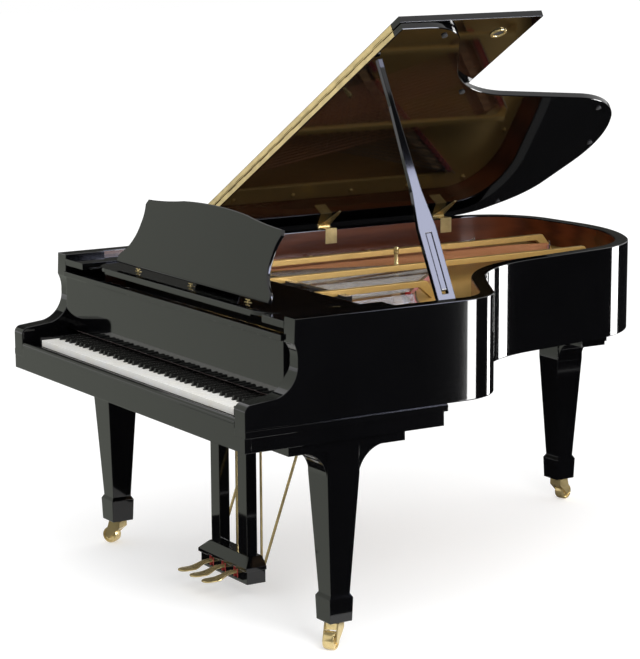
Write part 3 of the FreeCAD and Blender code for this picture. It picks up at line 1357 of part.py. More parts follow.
def leg_post(x, y, top):
    """Turned-in foot block, neck and tapered post, bored below for the caster's stem."""
    post = square_loft([(LEG_NECK_TOP, LEG_NECK_WIDTH), (top, LEG_TOP_WIDTH)], x, y)
    neck = square_loft([(LEG_BLOCK_TOP, LEG_BLOCK_TOP_WIDTH), (LEG_NECK_TOP, LEG_NECK_WIDTH)], x, y)
    foot = square_loft([(LEG_BOTTOM, LEG_BLOCK_WIDTH), (LEG_BLOCK_TOP, LEG_BLOCK_TOP_WIDTH)], x, y)
    stem = rod(V(x, y, LEG_BOTTOM - 1), V(x, y, LEG_BOTTOM + FORK_STEM_DEPTH + SEAT_GAP),
               FORK_STEM_RADIUS + PIN_GAP)
    return post.fuse([neck, foot]), stem


def front_leg(x):
    """Front leg with its head plate under the keybed and a corbel before and behind."""
    y = FRONT_LEG_Y
    half = LEG_TOP_WIDTH / 2
    head_bottom = KEYBED_BOTTOM - LEG_HEAD_PLATE
    post, stem = leg_post(x, y, LEG_TOP)
    cap = block(x - half, x + half, y - half, y + half, LEG_TOP, head_bottom)
    head = block(x - half, x + half, y - LEG_HEAD_FRONT, y + LEG_HEAD_REAR, head_bottom, KEYBED_BOTTOM)
    x0 = x - half + CORBEL_SET_IN
    x1 = x + half - CORBEL_SET_IN
    drop = head_bottom - LEG_TOP
    front = corbel(x0, x1, y - half, -CORBEL_FRONT_REACH, head_bottom, drop)
    rear = corbel(x0, x1, y + half, CORBEL_REAR_REACH, head_bottom, drop)
    return fused(post, cap, head, front, rear).cut(stem)


def rear_leg():
    """Rear leg as long as the front ones, with a corbel on either side and a block up to the rim at the tail."""
    x = REAR_LEG_X
    y = REAR_LEG_Y
    half = LEG_TOP_WIDTH / 2
    head_bottom = KEYBED_BOTTOM - LEG_HEAD_PLATE
    post, stem = leg_post(x, y, LEG_TOP)
    cap = block(x - half, x + half, y - half, y + half, LEG_TOP, head_bottom)
    head = block(x - REAR_HEAD_BASS, x + REAR_HEAD_TREBLE, y - half, y + REAR_HEAD_REAR, head_bottom, RIM_BOTTOM)
    head = head.common(prism(case_outline(REAR_HEAD_INSET, 0), head_bottom, RIM_BOTTOM))
    x0 = x - half + CORBEL_SET_IN
    x1 = x + half - CORBEL_SET_IN
    drop = head_bottom - LEG_TOP
    treble = corbel(x0, x1, y + half, REAR_CORBEL_REACH, head_bottom, drop)
    bass = corbel(x0, x1, y - half, -REAR_CORBEL_REACH, head_bottom, drop)
    for bracket in (treble, bass):
        bracket.rotate(V(x, y, 0), Z_AXIS, -90)
    return fused(post, cap, head, treble, bass).cut(stem)


def fork_side(points, y0, y1):
    """Prism across a caster, on a polygon of (x, z) points."""
    outline = [V(x, y0, z) for x, z in points]
    return Part.Face(Part.makePolygon(outline + outline[:1])).extrude(Y_AXIS * (y1 - y0))


def caster_fork():
    """Crown with a stem above it, and two cheeks that hold the axle."""
    cheek_in = WHEEL_WIDTH / 2 + SEAT_GAP
    cheek_out = cheek_in + FORK_CHEEK
    top = LEG_BOTTOM - FORK_CAP_GAP
    low = top - FORK_CROWN
    stem = rod(V(0, 0, top - 1), V(0, 0, LEG_BOTTOM + FORK_STEM_DEPTH), FORK_STEM_RADIUS)
    collar = rod(V(0, 0, top - 1), V(0, 0, LEG_BOTTOM - SEAT_GAP), FORK_STEM_RADIUS + FORK_COLLAR)
    crown_points = [(-FORK_BACK, top), (FORK_FRONT, top), (FORK_FRONT, low), (0, low),
                    (-FORK_BACK / 2, low - FORK_BACK / 2), (-FORK_BACK, low)]
    crown = fork_side(crown_points, -cheek_in, cheek_in)
    cheek_points = [(-FORK_BACK, top), (FORK_FRONT, top), (CASTER_TRAIL + FORK_BOSS, WHEEL_RADIUS),
                    (CASTER_TRAIL, WHEEL_RADIUS - FORK_BOSS), (CASTER_TRAIL - FORK_BOSS, WHEEL_RADIUS),
                    (-FORK_BACK, low)]
    left = fork_side(cheek_points, cheek_in, cheek_out)
    right = fork_side(cheek_points, -cheek_out, -cheek_in)
    axle = rod(V(CASTER_TRAIL, -cheek_out, WHEEL_RADIUS), V(CASTER_TRAIL, cheek_out, WHEEL_RADIUS),
               WHEEL_AXLE_RADIUS)
    return fused(crown, stem, collar, left, right, axle)


def caster_wheel():
    """Plain roller with a bore for the axle."""
    half = WHEEL_WIDTH / 2
    wheel = rod(V(CASTER_TRAIL, -half, WHEEL_RADIUS), V(CASTER_TRAIL, half, WHEEL_RADIUS), WHEEL_RADIUS)
    bore = rod(V(CASTER_TRAIL, -half - 1, WHEEL_RADIUS), V(CASTER_TRAIL, half + 1, WHEEL_RADIUS),
               WHEEL_AXLE_RADIUS + PIN_GAP)
    return wheel.cut(bore)


def caster_parts(x, y, heading):
    """Fork and wheel of one caster, trailing towards heading (degrees from +X)."""
    fork = caster_fork()
    wheel = caster_wheel()
    for shape in (fork, wheel):
        shape.rotate(V(0, 0, 0), Z_AXIS, heading)
        shape.translate(V(x, y, 0))
    return fork, wheel


def lyre_frame():
    """Two square columns from the keybed to the pedal box."""
    half = LYRE_COLUMN_WIDTH / 2
    right = block(LYRE_COLUMN_X - half, LYRE_COLUMN_X + half, LYRE_COLUMN_FRONT,
                  LYRE_COLUMN_FRONT + LYRE_COLUMN_DEPTH, BOX_TOP, KEYBED_BOTTOM)
    return Part.makeCompound([mirrored(right), right])


def pedal_box():
    """Box under a sloping cap, with three slots and the pin that each pedal turns on."""
    x = BOX_HALF_WIDTH
    edge_top = BOX_TOP - BOX_SLOPE
    edge_low = edge_top - BOX_CAP_EDGE
    body = block(BOX_SET_IN - x, x - BOX_SET_IN, BOX_FRONT + BOX_SET_IN, BOX_REAR, BOX_BOTTOM, edge_low)
    edge = block(-x, x, BOX_FRONT, BOX_REAR, edge_low, edge_top)
    rings = []
    for z, inset in ((edge_top, 0), (BOX_TOP, BOX_SLOPE)):
        ring = [V(inset - x, BOX_FRONT + inset, z), V(x - inset, BOX_FRONT + inset, z), V(x - inset, BOX_REAR, z),
                V(inset - x, BOX_REAR, z)]
        rings.append(Part.makePolygon(ring + ring[:1]))
    box = fused(body, edge, Part.makeLoft(rings, True, True))
    pins = []
    for centre in (-PEDAL_SPACING, 0, PEDAL_SPACING):
        half = BOX_SLOT_WIDTH / 2
        box = box.cut(block(centre - half, centre + half, BOX_FRONT - 1, BOX_REAR + 1,
                            BOX_SLOT_BOTTOM, BOX_SLOT_TOP))
        pins.append(rod(V(centre - half - 2, PEDAL_PIVOT_Y, PEDAL_PIVOT_Z),
                        V(centre + half + 2, PEDAL_PIVOT_Y, PEDAL_PIVOT_Z), PEDAL_PIN_RADIUS))
    return box.fuse(pins).removeSplitter()


def pedal(x):
    """Brass lever: a rounded paddle that drops towards the player, and a bar through the box."""
    top = PEDAL_PIVOT_Z + PEDAL_HEIGHT / 2
    low = PEDAL_PIVOT_Z - PEDAL_HEIGHT / 2
    bend = BOX_FRONT - PEDAL_BEND
    tip_end = PEDAL_TIP + PEDAL_TIP_LENGTH
    tip_low = low - PEDAL_DROP + PEDAL_TIP_THINNING
    tip_top = top - PEDAL_DROP
    side = [(PEDAL_TIP, tip_low), (tip_end, tip_low), (bend, low), (PEDAL_REAR, low),
            (PEDAL_REAR, top), (bend, top), (tip_end, tip_top), (PEDAL_TIP, tip_top)]
    bar = side_prism(side, x - PEDAL_TIP_WIDTH / 2, x + PEDAL_TIP_WIDTH / 2)
    half = PEDAL_WIDTH / 2
    tip = PEDAL_TIP_WIDTH / 2
    corners = [
        (V(x - tip, PEDAL_TIP, 0), PEDAL_TIP_CORNER),
        (V(x + tip, PEDAL_TIP, 0), PEDAL_TIP_CORNER),
        (V(x + tip, tip_end, 0), PEDAL_FLARE),
        (V(x + half, bend, 0), 0),
        (V(x + half, PEDAL_REAR, 0), 0),
        (V(x - half, PEDAL_REAR, 0), 0),
        (V(x - half, bend, 0), 0),
        (V(x - tip, tip_end, 0), PEDAL_FLARE),
    ]
    plan = prism(rounded_wire(corners), low - PEDAL_DROP - 1, top + 1)
    bore = rod(V(x - tip - 1, PEDAL_PIVOT_Y, PEDAL_PIVOT_Z), V(x + tip + 1, PEDAL_PIVOT_Y, PEDAL_PIVOT_Z),
               PEDAL_PIN_RADIUS + PIN_GAP)
    return bar.common(plan).cut(bore).Solids[0]


def pedal_rod(x):
    """Brass rod from the rear of a pedal up into the keybed."""
    foot = PEDAL_PIVOT_Z + PEDAL_HEIGHT / 2 + SEAT_GAP
    return rod(V(x, ROD_Y, foot), V(x, ROD_Y, ROD_TOP), ROD_RADIUS)


def lyre_braces():
    """Two brass stays from the back of the box to the keybed."""
    braces = []
    for x in (-BRACE_X, BRACE_X):
        foot = V(x, BOX_REAR, BRACE_FOOT_Z)
        head = V(x, BRACE_HEAD_Y, KEYBED_BOTTOM)
        along = (head - foot).normalize()
        bar = rod(foot - along * 20, head + along * 20, BRACE_RADIUS)
        room = block(x - 20, x + 20, BOX_REAR, BRACE_HEAD_Y + 40, BOX_BOTTOM, KEYBED_BOTTOM)
        braces.append(bar.common(room).Solids[0])
    return Part.makeCompound(braces)


def build_nodes():
    """Every piece of the piano, by name."""
    nodes = {
        "outer_rim": outer_rim(),
        "inner_rim": inner_rim(),
        "keybed": keybed(),
        "key_slip": key_slip(),
        "key_blocks": key_blocks(),
        "white_keys": white_keys(),
        "black_keys": black_keys(),
        "key_frame": key_frame(),
        "action_frame": action_frame(),
        "hammers": hammers(),
        "damper_felts": damper_felts(),
        "damper_heads": damper_heads(),
        "strings": strings(),
        "hitch_pins": hitch_pins(),
        "tuning_pins": tuning_pins(),
        "pin_block": pin_block(),
        "iron_plate": iron_plate(),
        "bridges": bridges(),
        "soundboard": soundboard(),
        "soundboard_ribs": soundboard_ribs(),
        "back_posts": back_posts(),
        "fallboard": fallboard(),
        "tray_rails": tray_rails(),
        "music_tray": music_tray(),
        "music_desk": music_desk(),
        "desk_stay": desk_stay(),
        "desk_hinges": desk_hinges(),
        "lid_main": lid_main(),
        "lid_flap": lid_flap(),
        "flap_hinge_lid_leaf": flap_hinge_lid_leaf(),
        "flap_hinge_flap_leaf": flap_hinge_flap_leaf(),
        "lid_hinge_rim_leaves": lid_hinge_rim_leaves(),
        "lid_hinge_straps": lid_hinge_straps(),
        "lid_bumpers": lid_bumpers(),
        "lid_prop": lid_prop(),
        "half_prop": half_prop(),
        "prop_bracket": prop_bracket(),
        "leg_left": front_leg(-FRONT_LEG_X),
        "leg_right": front_leg(FRONT_LEG_X),
        "leg_rear": rear_leg(),
        "lyre_frame": lyre_frame(),
        "pedal_box": pedal_box(),
        "lyre_braces": lyre_braces(),
    }
    for name, index in LOOSE_WHITE.items():
        nodes[name] = white_key(index)
    for name, index in LOOSE_BLACK.items():
        nodes[name] = black_key(index)
    for side, x in (("soft", -PEDAL_SPACING), ("middle", 0), ("sustain", PEDAL_SPACING)):
        nodes["pedal_" + side] = pedal(x)
        nodes["pedal_rod_" + side] = pedal_rod(x)
    places = {"left": (-FRONT_LEG_X, FRONT_LEG_Y), "right": (FRONT_LEG_X, FRONT_LEG_Y),
              "rear": (REAR_LEG_X, REAR_LEG_Y)}
    for side, (x, y) in places.items():
        fork, wheel = caster_parts(x, y, CASTER_HEADINGS[side])
        nodes["caster_fork_" + side] = fork
        nodes["caster_wheel_" + side] = wheel
    return nodes


os.makedirs("parts", exist_ok=True)
for node, shape in build_nodes().items():
    shape.translate(-FLOOR_CENTRE)
    shape.exportStep("parts/" + node + ".step")
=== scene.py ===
import json
import math

import bmesh
import bpy
import numpy as np
from mathutils import Matrix, Vector


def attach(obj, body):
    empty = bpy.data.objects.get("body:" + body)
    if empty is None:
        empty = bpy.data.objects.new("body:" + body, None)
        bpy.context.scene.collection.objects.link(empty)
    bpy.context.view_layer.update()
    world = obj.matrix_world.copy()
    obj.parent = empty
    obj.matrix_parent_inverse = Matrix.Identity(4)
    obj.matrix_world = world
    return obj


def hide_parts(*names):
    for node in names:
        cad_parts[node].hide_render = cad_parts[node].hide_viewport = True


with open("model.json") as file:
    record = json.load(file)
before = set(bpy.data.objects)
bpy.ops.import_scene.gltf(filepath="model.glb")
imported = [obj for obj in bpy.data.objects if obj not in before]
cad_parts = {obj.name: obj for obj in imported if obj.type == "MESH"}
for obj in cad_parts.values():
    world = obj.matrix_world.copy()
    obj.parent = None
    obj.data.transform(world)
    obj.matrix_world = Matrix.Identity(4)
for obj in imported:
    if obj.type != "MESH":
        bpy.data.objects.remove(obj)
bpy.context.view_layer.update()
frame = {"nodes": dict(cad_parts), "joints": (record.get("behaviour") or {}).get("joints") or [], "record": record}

bl_info = {
    "name": "Grand Piano",
    "version": (1, 0, 0),
    "blender": (4, 5, 0),
    "location": "View3D > Sidebar > Piano",
    "description": "Dresses a grand piano with lacquer, brass, strings and felt",
    "category": "Object",
}

NODES = frame["nodes"]

# Middle of the part's box on the floor. Every place is measured from the middle of the key slip.
CENTRE = np.array([-0.01483, 0.99293, 0.0])

# Case plan: corners of the treble side, the bent side and the tail, as x, y and radius in metres
HALF_CASE = 0.740
CASE_CORNERS = (
    (0.740, 0.844, 0.180),
    (0.2725, 1.106, 0.470),
    (0.154, 1.823, 0.345),
    (-0.174, 1.993, 0.600),
    (-0.740, 1.9335, 0.260),
)
RIM_TOP = 0.980
RIM_BOTTOM = 0.685
RIM_THICKNESS = 0.042
ARM_INSIDE = 0.680
ARM_END = 0.300
ARC_STEP = math.radians(1.5)
EASE = 0.004              # flat strip beside each bend, which keeps the flat faces flat
QUARTER = np.linspace(0, math.pi / 2, 6)
FLAT_SHARE = 0.4          # the same strip beside a rounded edge, as a share of its radius
SHARP_ANGLE = math.radians(35)
SAME_POINT = 1e-7
MITRE_LIMIT = 0.3         # keeps the mitre at a sharp corner short
STEEP = 0.9               # an axis more upright than this takes its first spoke from X

# Lid and flap on the closed case, and the turn that raises them
LID_AXIS = (-0.744, 0.983)
LID_ANGLE = math.radians(30.3)
LID_UNDER = 0.986
LID_TOP = 1.005
LID_FRONT = 0.6444
LID_OVERHANG = 0.008
HINGE_OVERHANG = 0.013    # added on the hinge side, where the raised lid's edge comes down behind the rim
HINGE_FADE_POWER = 6      # how fast that fades where the case bends away from the hinge side
HINGE_SLOPE = 0.008       # further reach of that edge's lower corner
HINGE_SLOPE_FROM = 0.69   # distance from the middle where the slope sets in
HINGE_SLOPE_FADE = 0.03
SPLIT_Y = 0.643
FLAP_TURN_Z = 1.0065

# Music stand
TRAY_TOP = 0.962
DESK_AXIS = (0.244, 0.970)
DESK_LEAN = math.radians(23.6)
DESK_THICKNESS = 0.012
DESK_HINGE_SPACING = 0.340

# Scale of the strings
SECTIONS = ((20, -0.610, -0.410), (22, -0.328, -0.092), (23, -0.048, 0.208), (23, 0.252, 0.598))
BASS_NOTES = 20
NOTE_COUNT = 88
AGRAFFE_Y = 0.560
PLATE_TOP = 0.893
PLAIN_Z = 0.9080
BASS_Z = 0.9198


def length_value(label, text, value):
    """A length that the panel shows."""
    return bpy.props.FloatProperty(name=label, description=text, default=value, unit="LENGTH")


def angle_value(label, text, degrees):
    """An angle that the panel shows."""
    turn = math.radians(degrees)
    return bpy.props.FloatProperty(name=label, description=text, default=turn, subtype="ANGLE")


def plain_value(label, text, value):
    """A plain number that the panel shows."""
    return bpy.props.FloatProperty(name=label, description=text, default=value)


def colour_value(label, text, value):
    """A colour that the panel shows."""
    return bpy.props.FloatVectorProperty(name=label, description=text, default=value, subtype="COLOR")


class PianoSizes(bpy.types.PropertyGroup):
    """Sizes of the visible detail."""

    edge_radius: length_value("Edge radius", "Rounding of the lacquered edges", 0.003)
    veneer: length_value("Veneer", "Thickness of the veneer inside the rim", 0.001)
    string_spread: length_value("String spread", "Distance between the strings of one note", 0.0030)
    bolt_radius: length_value("Bolt radius", "Radius of the bolt heads on the plate", 0.009)
    bolt_spacing: length_value("Bolt spacing", "Distance between bolts along the plate", 0.235)


class PianoColours(bpy.types.PropertyGroup):
    """Base colours of the finishes."""

    lacquer: colour_value("Lacquer", "Black of the case", (0.0017, 0.0017, 0.0020))
    brass: colour_value("Brass", "Polished fittings", (0.70, 0.55, 0.26))
    bronze: colour_value("Bronze", "Paint of the iron plate", (0.56, 0.36, 0.11))
    mahogany: colour_value("Mahogany", "Veneer inside the rim", (0.085, 0.020, 0.006))
    spruce: colour_value("Spruce", "Soundboard", (0.46, 0.25, 0.09))
    maple: colour_value("Maple", "Hidden frame woods", (0.42, 0.25, 0.12))
    ivory: colour_value("Ivory", "White keys", (0.95, 0.95, 0.935))
    felt: colour_value("Felt", "Red felts", (0.48, 0.016, 0.014))
    copper: colour_value("Copper", "Winding of the bass strings", (0.62, 0.27, 0.12))


class PianoView(bpy.types.PropertyGroup):
    """Viewpoint of the main picture."""

    azimuth: angle_value("Azimuth", "Turn of the camera from the front to the treble side", 58.87)
    elevation: angle_value("Elevation", "Height of the camera as an angle", 11.79)
    roll: angle_value("Roll", "Turn of the picture", -0.436)
    distance: length_value("Distance", "Camera to the middle of the keyboard end", 7.709)
    lens: plain_value("Lens", "Focal length in millimetres on a 36 mm sensor", 135.67)
    shift_x: plain_value("Shift X", "Sideways shift of the picture", 0.0409)
    shift_y: plain_value("Shift Y", "Upward shift of the picture", 0.0937)


def sizes():
    """The scene's detail sizes."""
    return bpy.context.scene.piano_sizes


def colours():
    """The scene's finish colours."""
    return bpy.context.scene.piano_colours


# Meshes


def add_piece(name, shape, look, body, replaces=()):
    """Make a piece from a shape, which is its vertices and faces, and let it ride on a body."""
    verts, faces = shape
    mesh = bpy.data.meshes.new(name)
    mesh.from_pydata((np.asarray(verts, float) - CENTRE).tolist(), [], faces)
    work = bmesh.new()
    work.from_mesh(mesh)
    bmesh.ops.remove_doubles(work, verts=work.verts, dist=SAME_POINT)
    bmesh.ops.recalc_face_normals(work, faces=work.faces)
    work.to_mesh(mesh)
    work.free()
    mesh.shade_smooth()
    mesh.set_sharp_from_angle(angle=SHARP_ANGLE)
    mesh.materials.append(finish(look))
    obj = bpy.data.objects.new(name, mesh)
    bpy.context.scene.collection.objects.link(obj)
    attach(obj, body)
    if replaces:
        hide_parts(*replaces)
    return obj


def grid_faces(rows, columns, close_rows=False, close_columns=False):
    """Quads of a grid of rows by columns vertices, closed round either way on request."""
    i = np.arange(rows if close_rows else rows - 1)
    j = np.arange(columns if close_columns else columns - 1)
    a, b = np.meshgrid(i, j, indexing="ij")
    a2 = (a + 1) % rows
    b2 = (b + 1) % columns
    quads = np.stack([a * columns + b, a2 * columns + b, a2 * columns + b2, a * columns + b2], axis=-1)
    return quads.reshape(-1, 4).tolist()


def tube_faces(rows, columns):
    """Faces of a tube of rows by columns vertices, closed round and capped at both ends."""
    caps = [list(range(columns)), list(range((rows - 1) * columns, rows * columns))]
    return grid_faces(rows, columns, close_columns=True) + caps


def join(parts):
    """One shape from several."""
    verts = []
    faces = []
    start = 0
    for v, f in parts:
        verts.append(np.asarray(v, float))
        faces += [[k + start for k in face] for face in f]
        start += len(v)
    return np.concatenate(verts), faces


def bend_points(before, corner, after, radius):
    """Points and outward normals of one rounded corner: an arc with a short flat strip at each end."""
    into = (corner - before) / np.linalg.norm(corner - before)
    out = (after - corner) / np.linalg.norm(after - corner)
    side = into[0] * out[1] - into[1] * out[0]
    turn = math.atan2(side, float(into @ out))
    reach = radius * math.tan(abs(turn) / 2)
    start = corner - into * reach
    left = np.array([-into[1], into[0]]) * math.copysign(1, turn)
    centre = start + left * radius
    count = max(3, int(abs(turn) / ARC_STEP) + 1)
    angles = np.linspace(0, turn, count)
    c = np.cos(angles)
    s = np.sin(angles)
    spoke = -left
    arms = np.stack([spoke[0] * c - spoke[1] * s, spoke[0] * s + spoke[1] * c], axis=1)
    points = centre + arms * radius
    normals = arms * math.copysign(1, turn)
    first = np.array([into[1], -into[0]])
    last = np.array([out[1], -out[0]])
    points = np.vstack([start - into * EASE, points, points[-1] + out * EASE])
    normals = np.vstack([first, normals, last])
    return points, normals


def case_path(front):
    """Outside of the case from its treble side at y = front round the tail to its bass side."""
    corners = [np.array([HALF_CASE, front])] + [np.array(c[:2]) for c in CASE_CORNERS]
    corners.append(np.array([-HALF_CASE, front]))
    points = [corners[0][None, :]]
    normals = [np.array([[1.0, 0.0]])]
    for k, c in enumerate(CASE_CORNERS):
        p, n = bend_points(corners[k], corners[k + 1], corners[k + 2], c[2])
        points.append(p)
        normals.append(n)
    points.append(corners[-1][None, :])
    normals.append(np.array([[-1.0, 0.0]]))
    return np.vstack(points), np.vstack(normals)


def outline_normals(points):
    """Outward mitred normals of a closed outline that runs anticlockwise."""
    edge = np.roll(points, -1, axis=0) - points
    edge /= np.linalg.norm(edge, axis=1)[:, None]
    after = np.stack([edge[:, 1], -edge[:, 0]], axis=1)
    before = np.roll(after, 1, axis=0)
    total = before + after
    return total / np.maximum(1 + np.sum(before * after, axis=1), MITRE_LIMIT)[:, None]


def rounded_slab(points, normals, low, high, radius):
    """A plate on a closed outline with rounded edges: rings carried round a quarter circle, up the
    side and over the top edge, each ring the outline moved in by its inset, with a flat cap at both ends."""
    inset = radius * (1 - np.sin(QUARTER))
    rise = radius * (1 - np.cos(QUARTER))
    flat = radius * FLAT_SHARE
    edge = radius + flat
    insets = np.concatenate([[edge], inset, [0, 0], inset[::-1], [edge]])
    side = [low + edge, high - edge]
    heights = np.concatenate([[low], low + rise, side, high - rise[::-1], [high]])
    rings = points[None, :, :] - normals[None, :, :] * insets[:, None, None]
    tall = np.repeat(heights[:, None, None], len(points), axis=1)
    verts = np.concatenate([rings, tall], axis=2).reshape(-1, 3)
    return verts, tube_faces(len(insets), len(points))


def swept_wall(points, normals, profile):
    """A closed (out, height) profile carried along a plan path, with a cap at each end."""
    flat = points[:, None, :] + normals[:, None, :] * profile[None, :, :1]
    tall = np.repeat(profile[None, :, 1:], len(points), axis=0)
    verts = np.concatenate([flat, tall], axis=2).reshape(-1, 3)
    return verts, tube_faces(len(points), len(profile))


def rounded_profile(inner, outer, low, high, radius):
    """Rectangle with rounded corners as a closed profile, with a flat strip beside each corner."""
    corners = [(inner, low), (outer, low), (outer, high), (inner, high)]
    points = []
    for k in range(4):
        before = np.array(corners[k - 1])
        after = np.array(corners[(k + 1) % 4])
        corner = np.array(corners[k])
        into = (corner - before) / np.linalg.norm(corner - before)
        out = (after - corner) / np.linalg.norm(after - corner)
        centre = corner - into * radius + out * radius
        arc = centre + np.sin(QUARTER)[:, None] * into * radius - np.cos(QUARTER)[:, None] * out * radius
        flat = radius * FLAT_SHARE
        points.append(np.vstack([arc[0] - into * flat, arc, arc[-1] + out * flat]))
    return np.vstack(points)


def spokes(axis, sides):
    """A unit axis, and the directions of even spokes round it."""
    axis = np.asarray(axis, float) / np.linalg.norm(axis)
    helper = np.array([1.0, 0, 0]) if abs(axis[2]) > STEEP else np.array([0, 0, 1.0])
    u = np.cross(axis, helper)
    u /= np.linalg.norm(u)
    v = np.cross(axis, u)
    turn = np.arange(sides) * 2 * math.pi / sides
    return axis, np.cos(turn)[:, None] * u + np.sin(turn)[:, None] * v


def tubes(starts, ends, radii, sides=6):
    """Straight round bars with flat ends."""
    bars = []
    for start, end, radius in zip(starts, ends, radii):
        spoke = spokes(end - start, sides)[1] * radius
        bars.append((np.concatenate([start + spoke, end + spoke]), tube_faces(2, sides)))
    return join(bars)


def lathe(profile, sides, origin, axis=(0, 0, 1)):
    """A closed (radius, along) profile turned once round an axis."""
    axis, spoke = spokes(axis, sides)
    radius = np.asarray(profile)[:, 0]
    along = np.asarray(profile)[:, 1]
    verts = spoke[:, None, :] * radius[None, :, None] + axis * along[None, :, None] + np.asarray(origin)
    return verts.reshape(-1, 3), grid_faces(sides, len(radius), True, True)


def dome(radius, height, sides, origin):
    """A domed button: a quarter ellipse turned round an upright axis, with a flat underside."""
    profile = np.stack([radius * np.cos(QUARTER), height * np.sin(QUARTER)], axis=1)[:-1]
    axis, spoke = spokes((0, 0, 1), sides)
    rings = spoke[None, :, :] * profile[:, None, :1] + axis * profile[:, None, 1:]
    verts = np.vstack([rings.reshape(-1, 3), axis[None, :] * height]) + np.asarray(origin)
    faces = grid_faces(len(profile), sides, close_columns=True)
    faces.append(list(range(sides)))
    top = len(verts) - 1
    last = (len(profile) - 1) * sides
    faces += [[last + k, last + (k + 1) % sides, top] for k in range(sides)]
    return verts, faces


def lid_up(verts):
    """Turn points on the closed lid up with it, about the line through its hinges."""
    verts = np.array(verts, float)
    x = verts[:, 0] - LID_AXIS[0]
    z = verts[:, 2] - LID_AXIS[1]
    c = math.cos(LID_ANGLE)
    s = math.sin(LID_ANGLE)
    return np.stack([LID_AXIS[0] + c * x - s * z, verts[:, 1], LID_AXIS[1] + s * x + c * z], axis=1)


def flap_over(verts):
    """Fold points on the closed flap back over the split, then raise them with the lid."""
    verts = np.array(verts, float)
    folded = np.stack([verts[:, 0], 2 * SPLIT_Y - verts[:, 1], 2 * FLAP_TURN_Z - verts[:, 2]], axis=1)
    return lid_up(folded)


# Materials


def shade(value, factor):
    """A colour made lighter or darker."""
    return (value[0] * factor, value[1] * factor, value[2] * factor, 1.0)


class Look:
    """A material in the making, with textures in object coordinates."""

    def __init__(self, name, stretch=(1, 1, 1), turn=0.0):
        self.material = bpy.data.materials.new(name)
        self.material.use_nodes = True
        self.tree = self.material.node_tree
        self.shader = self.tree.nodes["Principled BSDF"]
        place = self.node("TexCoord").outputs["Object"]
        mapping = self.node("Mapping", Vector=place, Scale=stretch, Rotation=(0, 0, turn))
        self.vector = mapping.outputs["Vector"]

    def put(self, entry, value):
        """Link a socket to an input, or set the input to a plain value."""
        if isinstance(value, bpy.types.NodeSocket):
            self.tree.links.new(value, entry)
        else:
            entry.default_value = value

    def fill(self, node, values):
        """Fill a node's inputs by name, an underscore standing for a space."""
        for name, value in values.items():
            self.put(node.inputs[name.replace("_", " ")], value)

    def node(self, kind, **values):
        """A new node with some inputs filled."""
        node = self.tree.nodes.new("ShaderNode" + kind)
        self.fill(node, values)
        return node

    def surface(self, **values):
        """Fill inputs of the surface shader."""
        self.fill(self.shader, values)

    def noise(self, scale, detail=4.0, roughness=0.55):
        """Noise texture."""
        node = self.node("TexNoise", Vector=self.vector, Scale=scale, Detail=detail, Roughness=roughness)
        return node.outputs["Fac"]

    def bands(self, direction, **values):
        """Wave texture of straight bands across one direction."""
        node = self.node("TexWave", Vector=self.vector, **values)
        node.wave_type = "BANDS"
        node.bands_direction = direction
        return node.outputs["Fac"]

    def arithmetic(self, operation, first, second):
        """Arithmetic on sockets or numbers."""
        node = self.node("Math")
        node.operation = operation
        self.put(node.inputs[0], first)
        self.put(node.inputs[1], second)
        return node.outputs[0]

    def tint(self, factor, stops):
        """Base colour from a factor through (place, colour) stops."""
        node = self.node("ValToRGB", Fac=factor)
        while len(node.color_ramp.elements) < len(stops):
            node.color_ramp.elements.new(0.5)
        for element, (place, value) in zip(node.color_ramp.elements, stops):
            element.position = place
            element.color = value
        self.surface(Base_Color=node.outputs["Color"])

    def graded(self, factor, base, stops):
        """Base colour from a factor through (place, share of one colour) stops."""
        self.tint(factor, [(place, shade(base, share)) for place, share in stops])

    def rough(self, factor, low, high):
        """Roughness from a 0 to 1 factor spread over a range."""
        node = self.node("MapRange", Value=factor, To_Min=low, To_Max=high)
        self.surface(Roughness=node.outputs["Result"])

    def bumps(self, height, strength, distance, edge=0.0):
        """Bump from a height, over edges rounded by a radius."""
        node = self.node("Bump", Height=height, Strength=strength, Distance=distance)
        if edge:
            soft = self.node("Bevel", Radius=edge)
            soft.samples = 4
            self.put(node.inputs["Normal"], soft.outputs["Normal"])
        self.surface(Normal=node.outputs["Normal"])


def lacquer(name, edge):
    """Polished black lacquer: almost black, faintly uneven in colour, gloss and flatness."""
    look = Look(name)
    look.graded(look.noise(3.0), colours().lacquer, [(0.35, 0.8), (0.7, 1.25)])
    look.rough(look.noise(90.0, 6.0), 0.03, 0.07)
    look.surface(IOR=1.5)
    look.bumps(look.noise(5.0, 2.0), 0.05, 0.001, edge)
    return look.material


def polished_metal(name, base, rough, edge, metallic=1.0):
    """Bright metal with fine rubbing marks and a slight tarnish."""
    look = Look(name)
    look.graded(look.noise(25.0, 5.0), base, [(0.3, 0.72), (0.6, 1.0), (0.8, 1.12)])
    look.surface(Metallic=metallic)
    fine = look.noise(400.0, 6.0)
    look.rough(fine, rough * 0.7, rough * 1.5)
    look.bumps(fine, 0.06, 0.0004, edge)
    return look.material


def plate_bronze(name):
    """Bronze paint on cast iron: metallic flakes and the faint orange peel of a sprayed casting."""
    look = Look(name)
    flakes = look.noise(900.0, 2.0)
    look.graded(flakes, colours().bronze, [(0.3, 0.8), (0.55, 1.0), (0.75, 1.4)])
    look.surface(Metallic=0.45)
    look.rough(flakes, 0.26, 0.42)
    look.bumps(look.noise(160.0, 3.0), 0.12, 0.0008, 0.003)
    return look.material


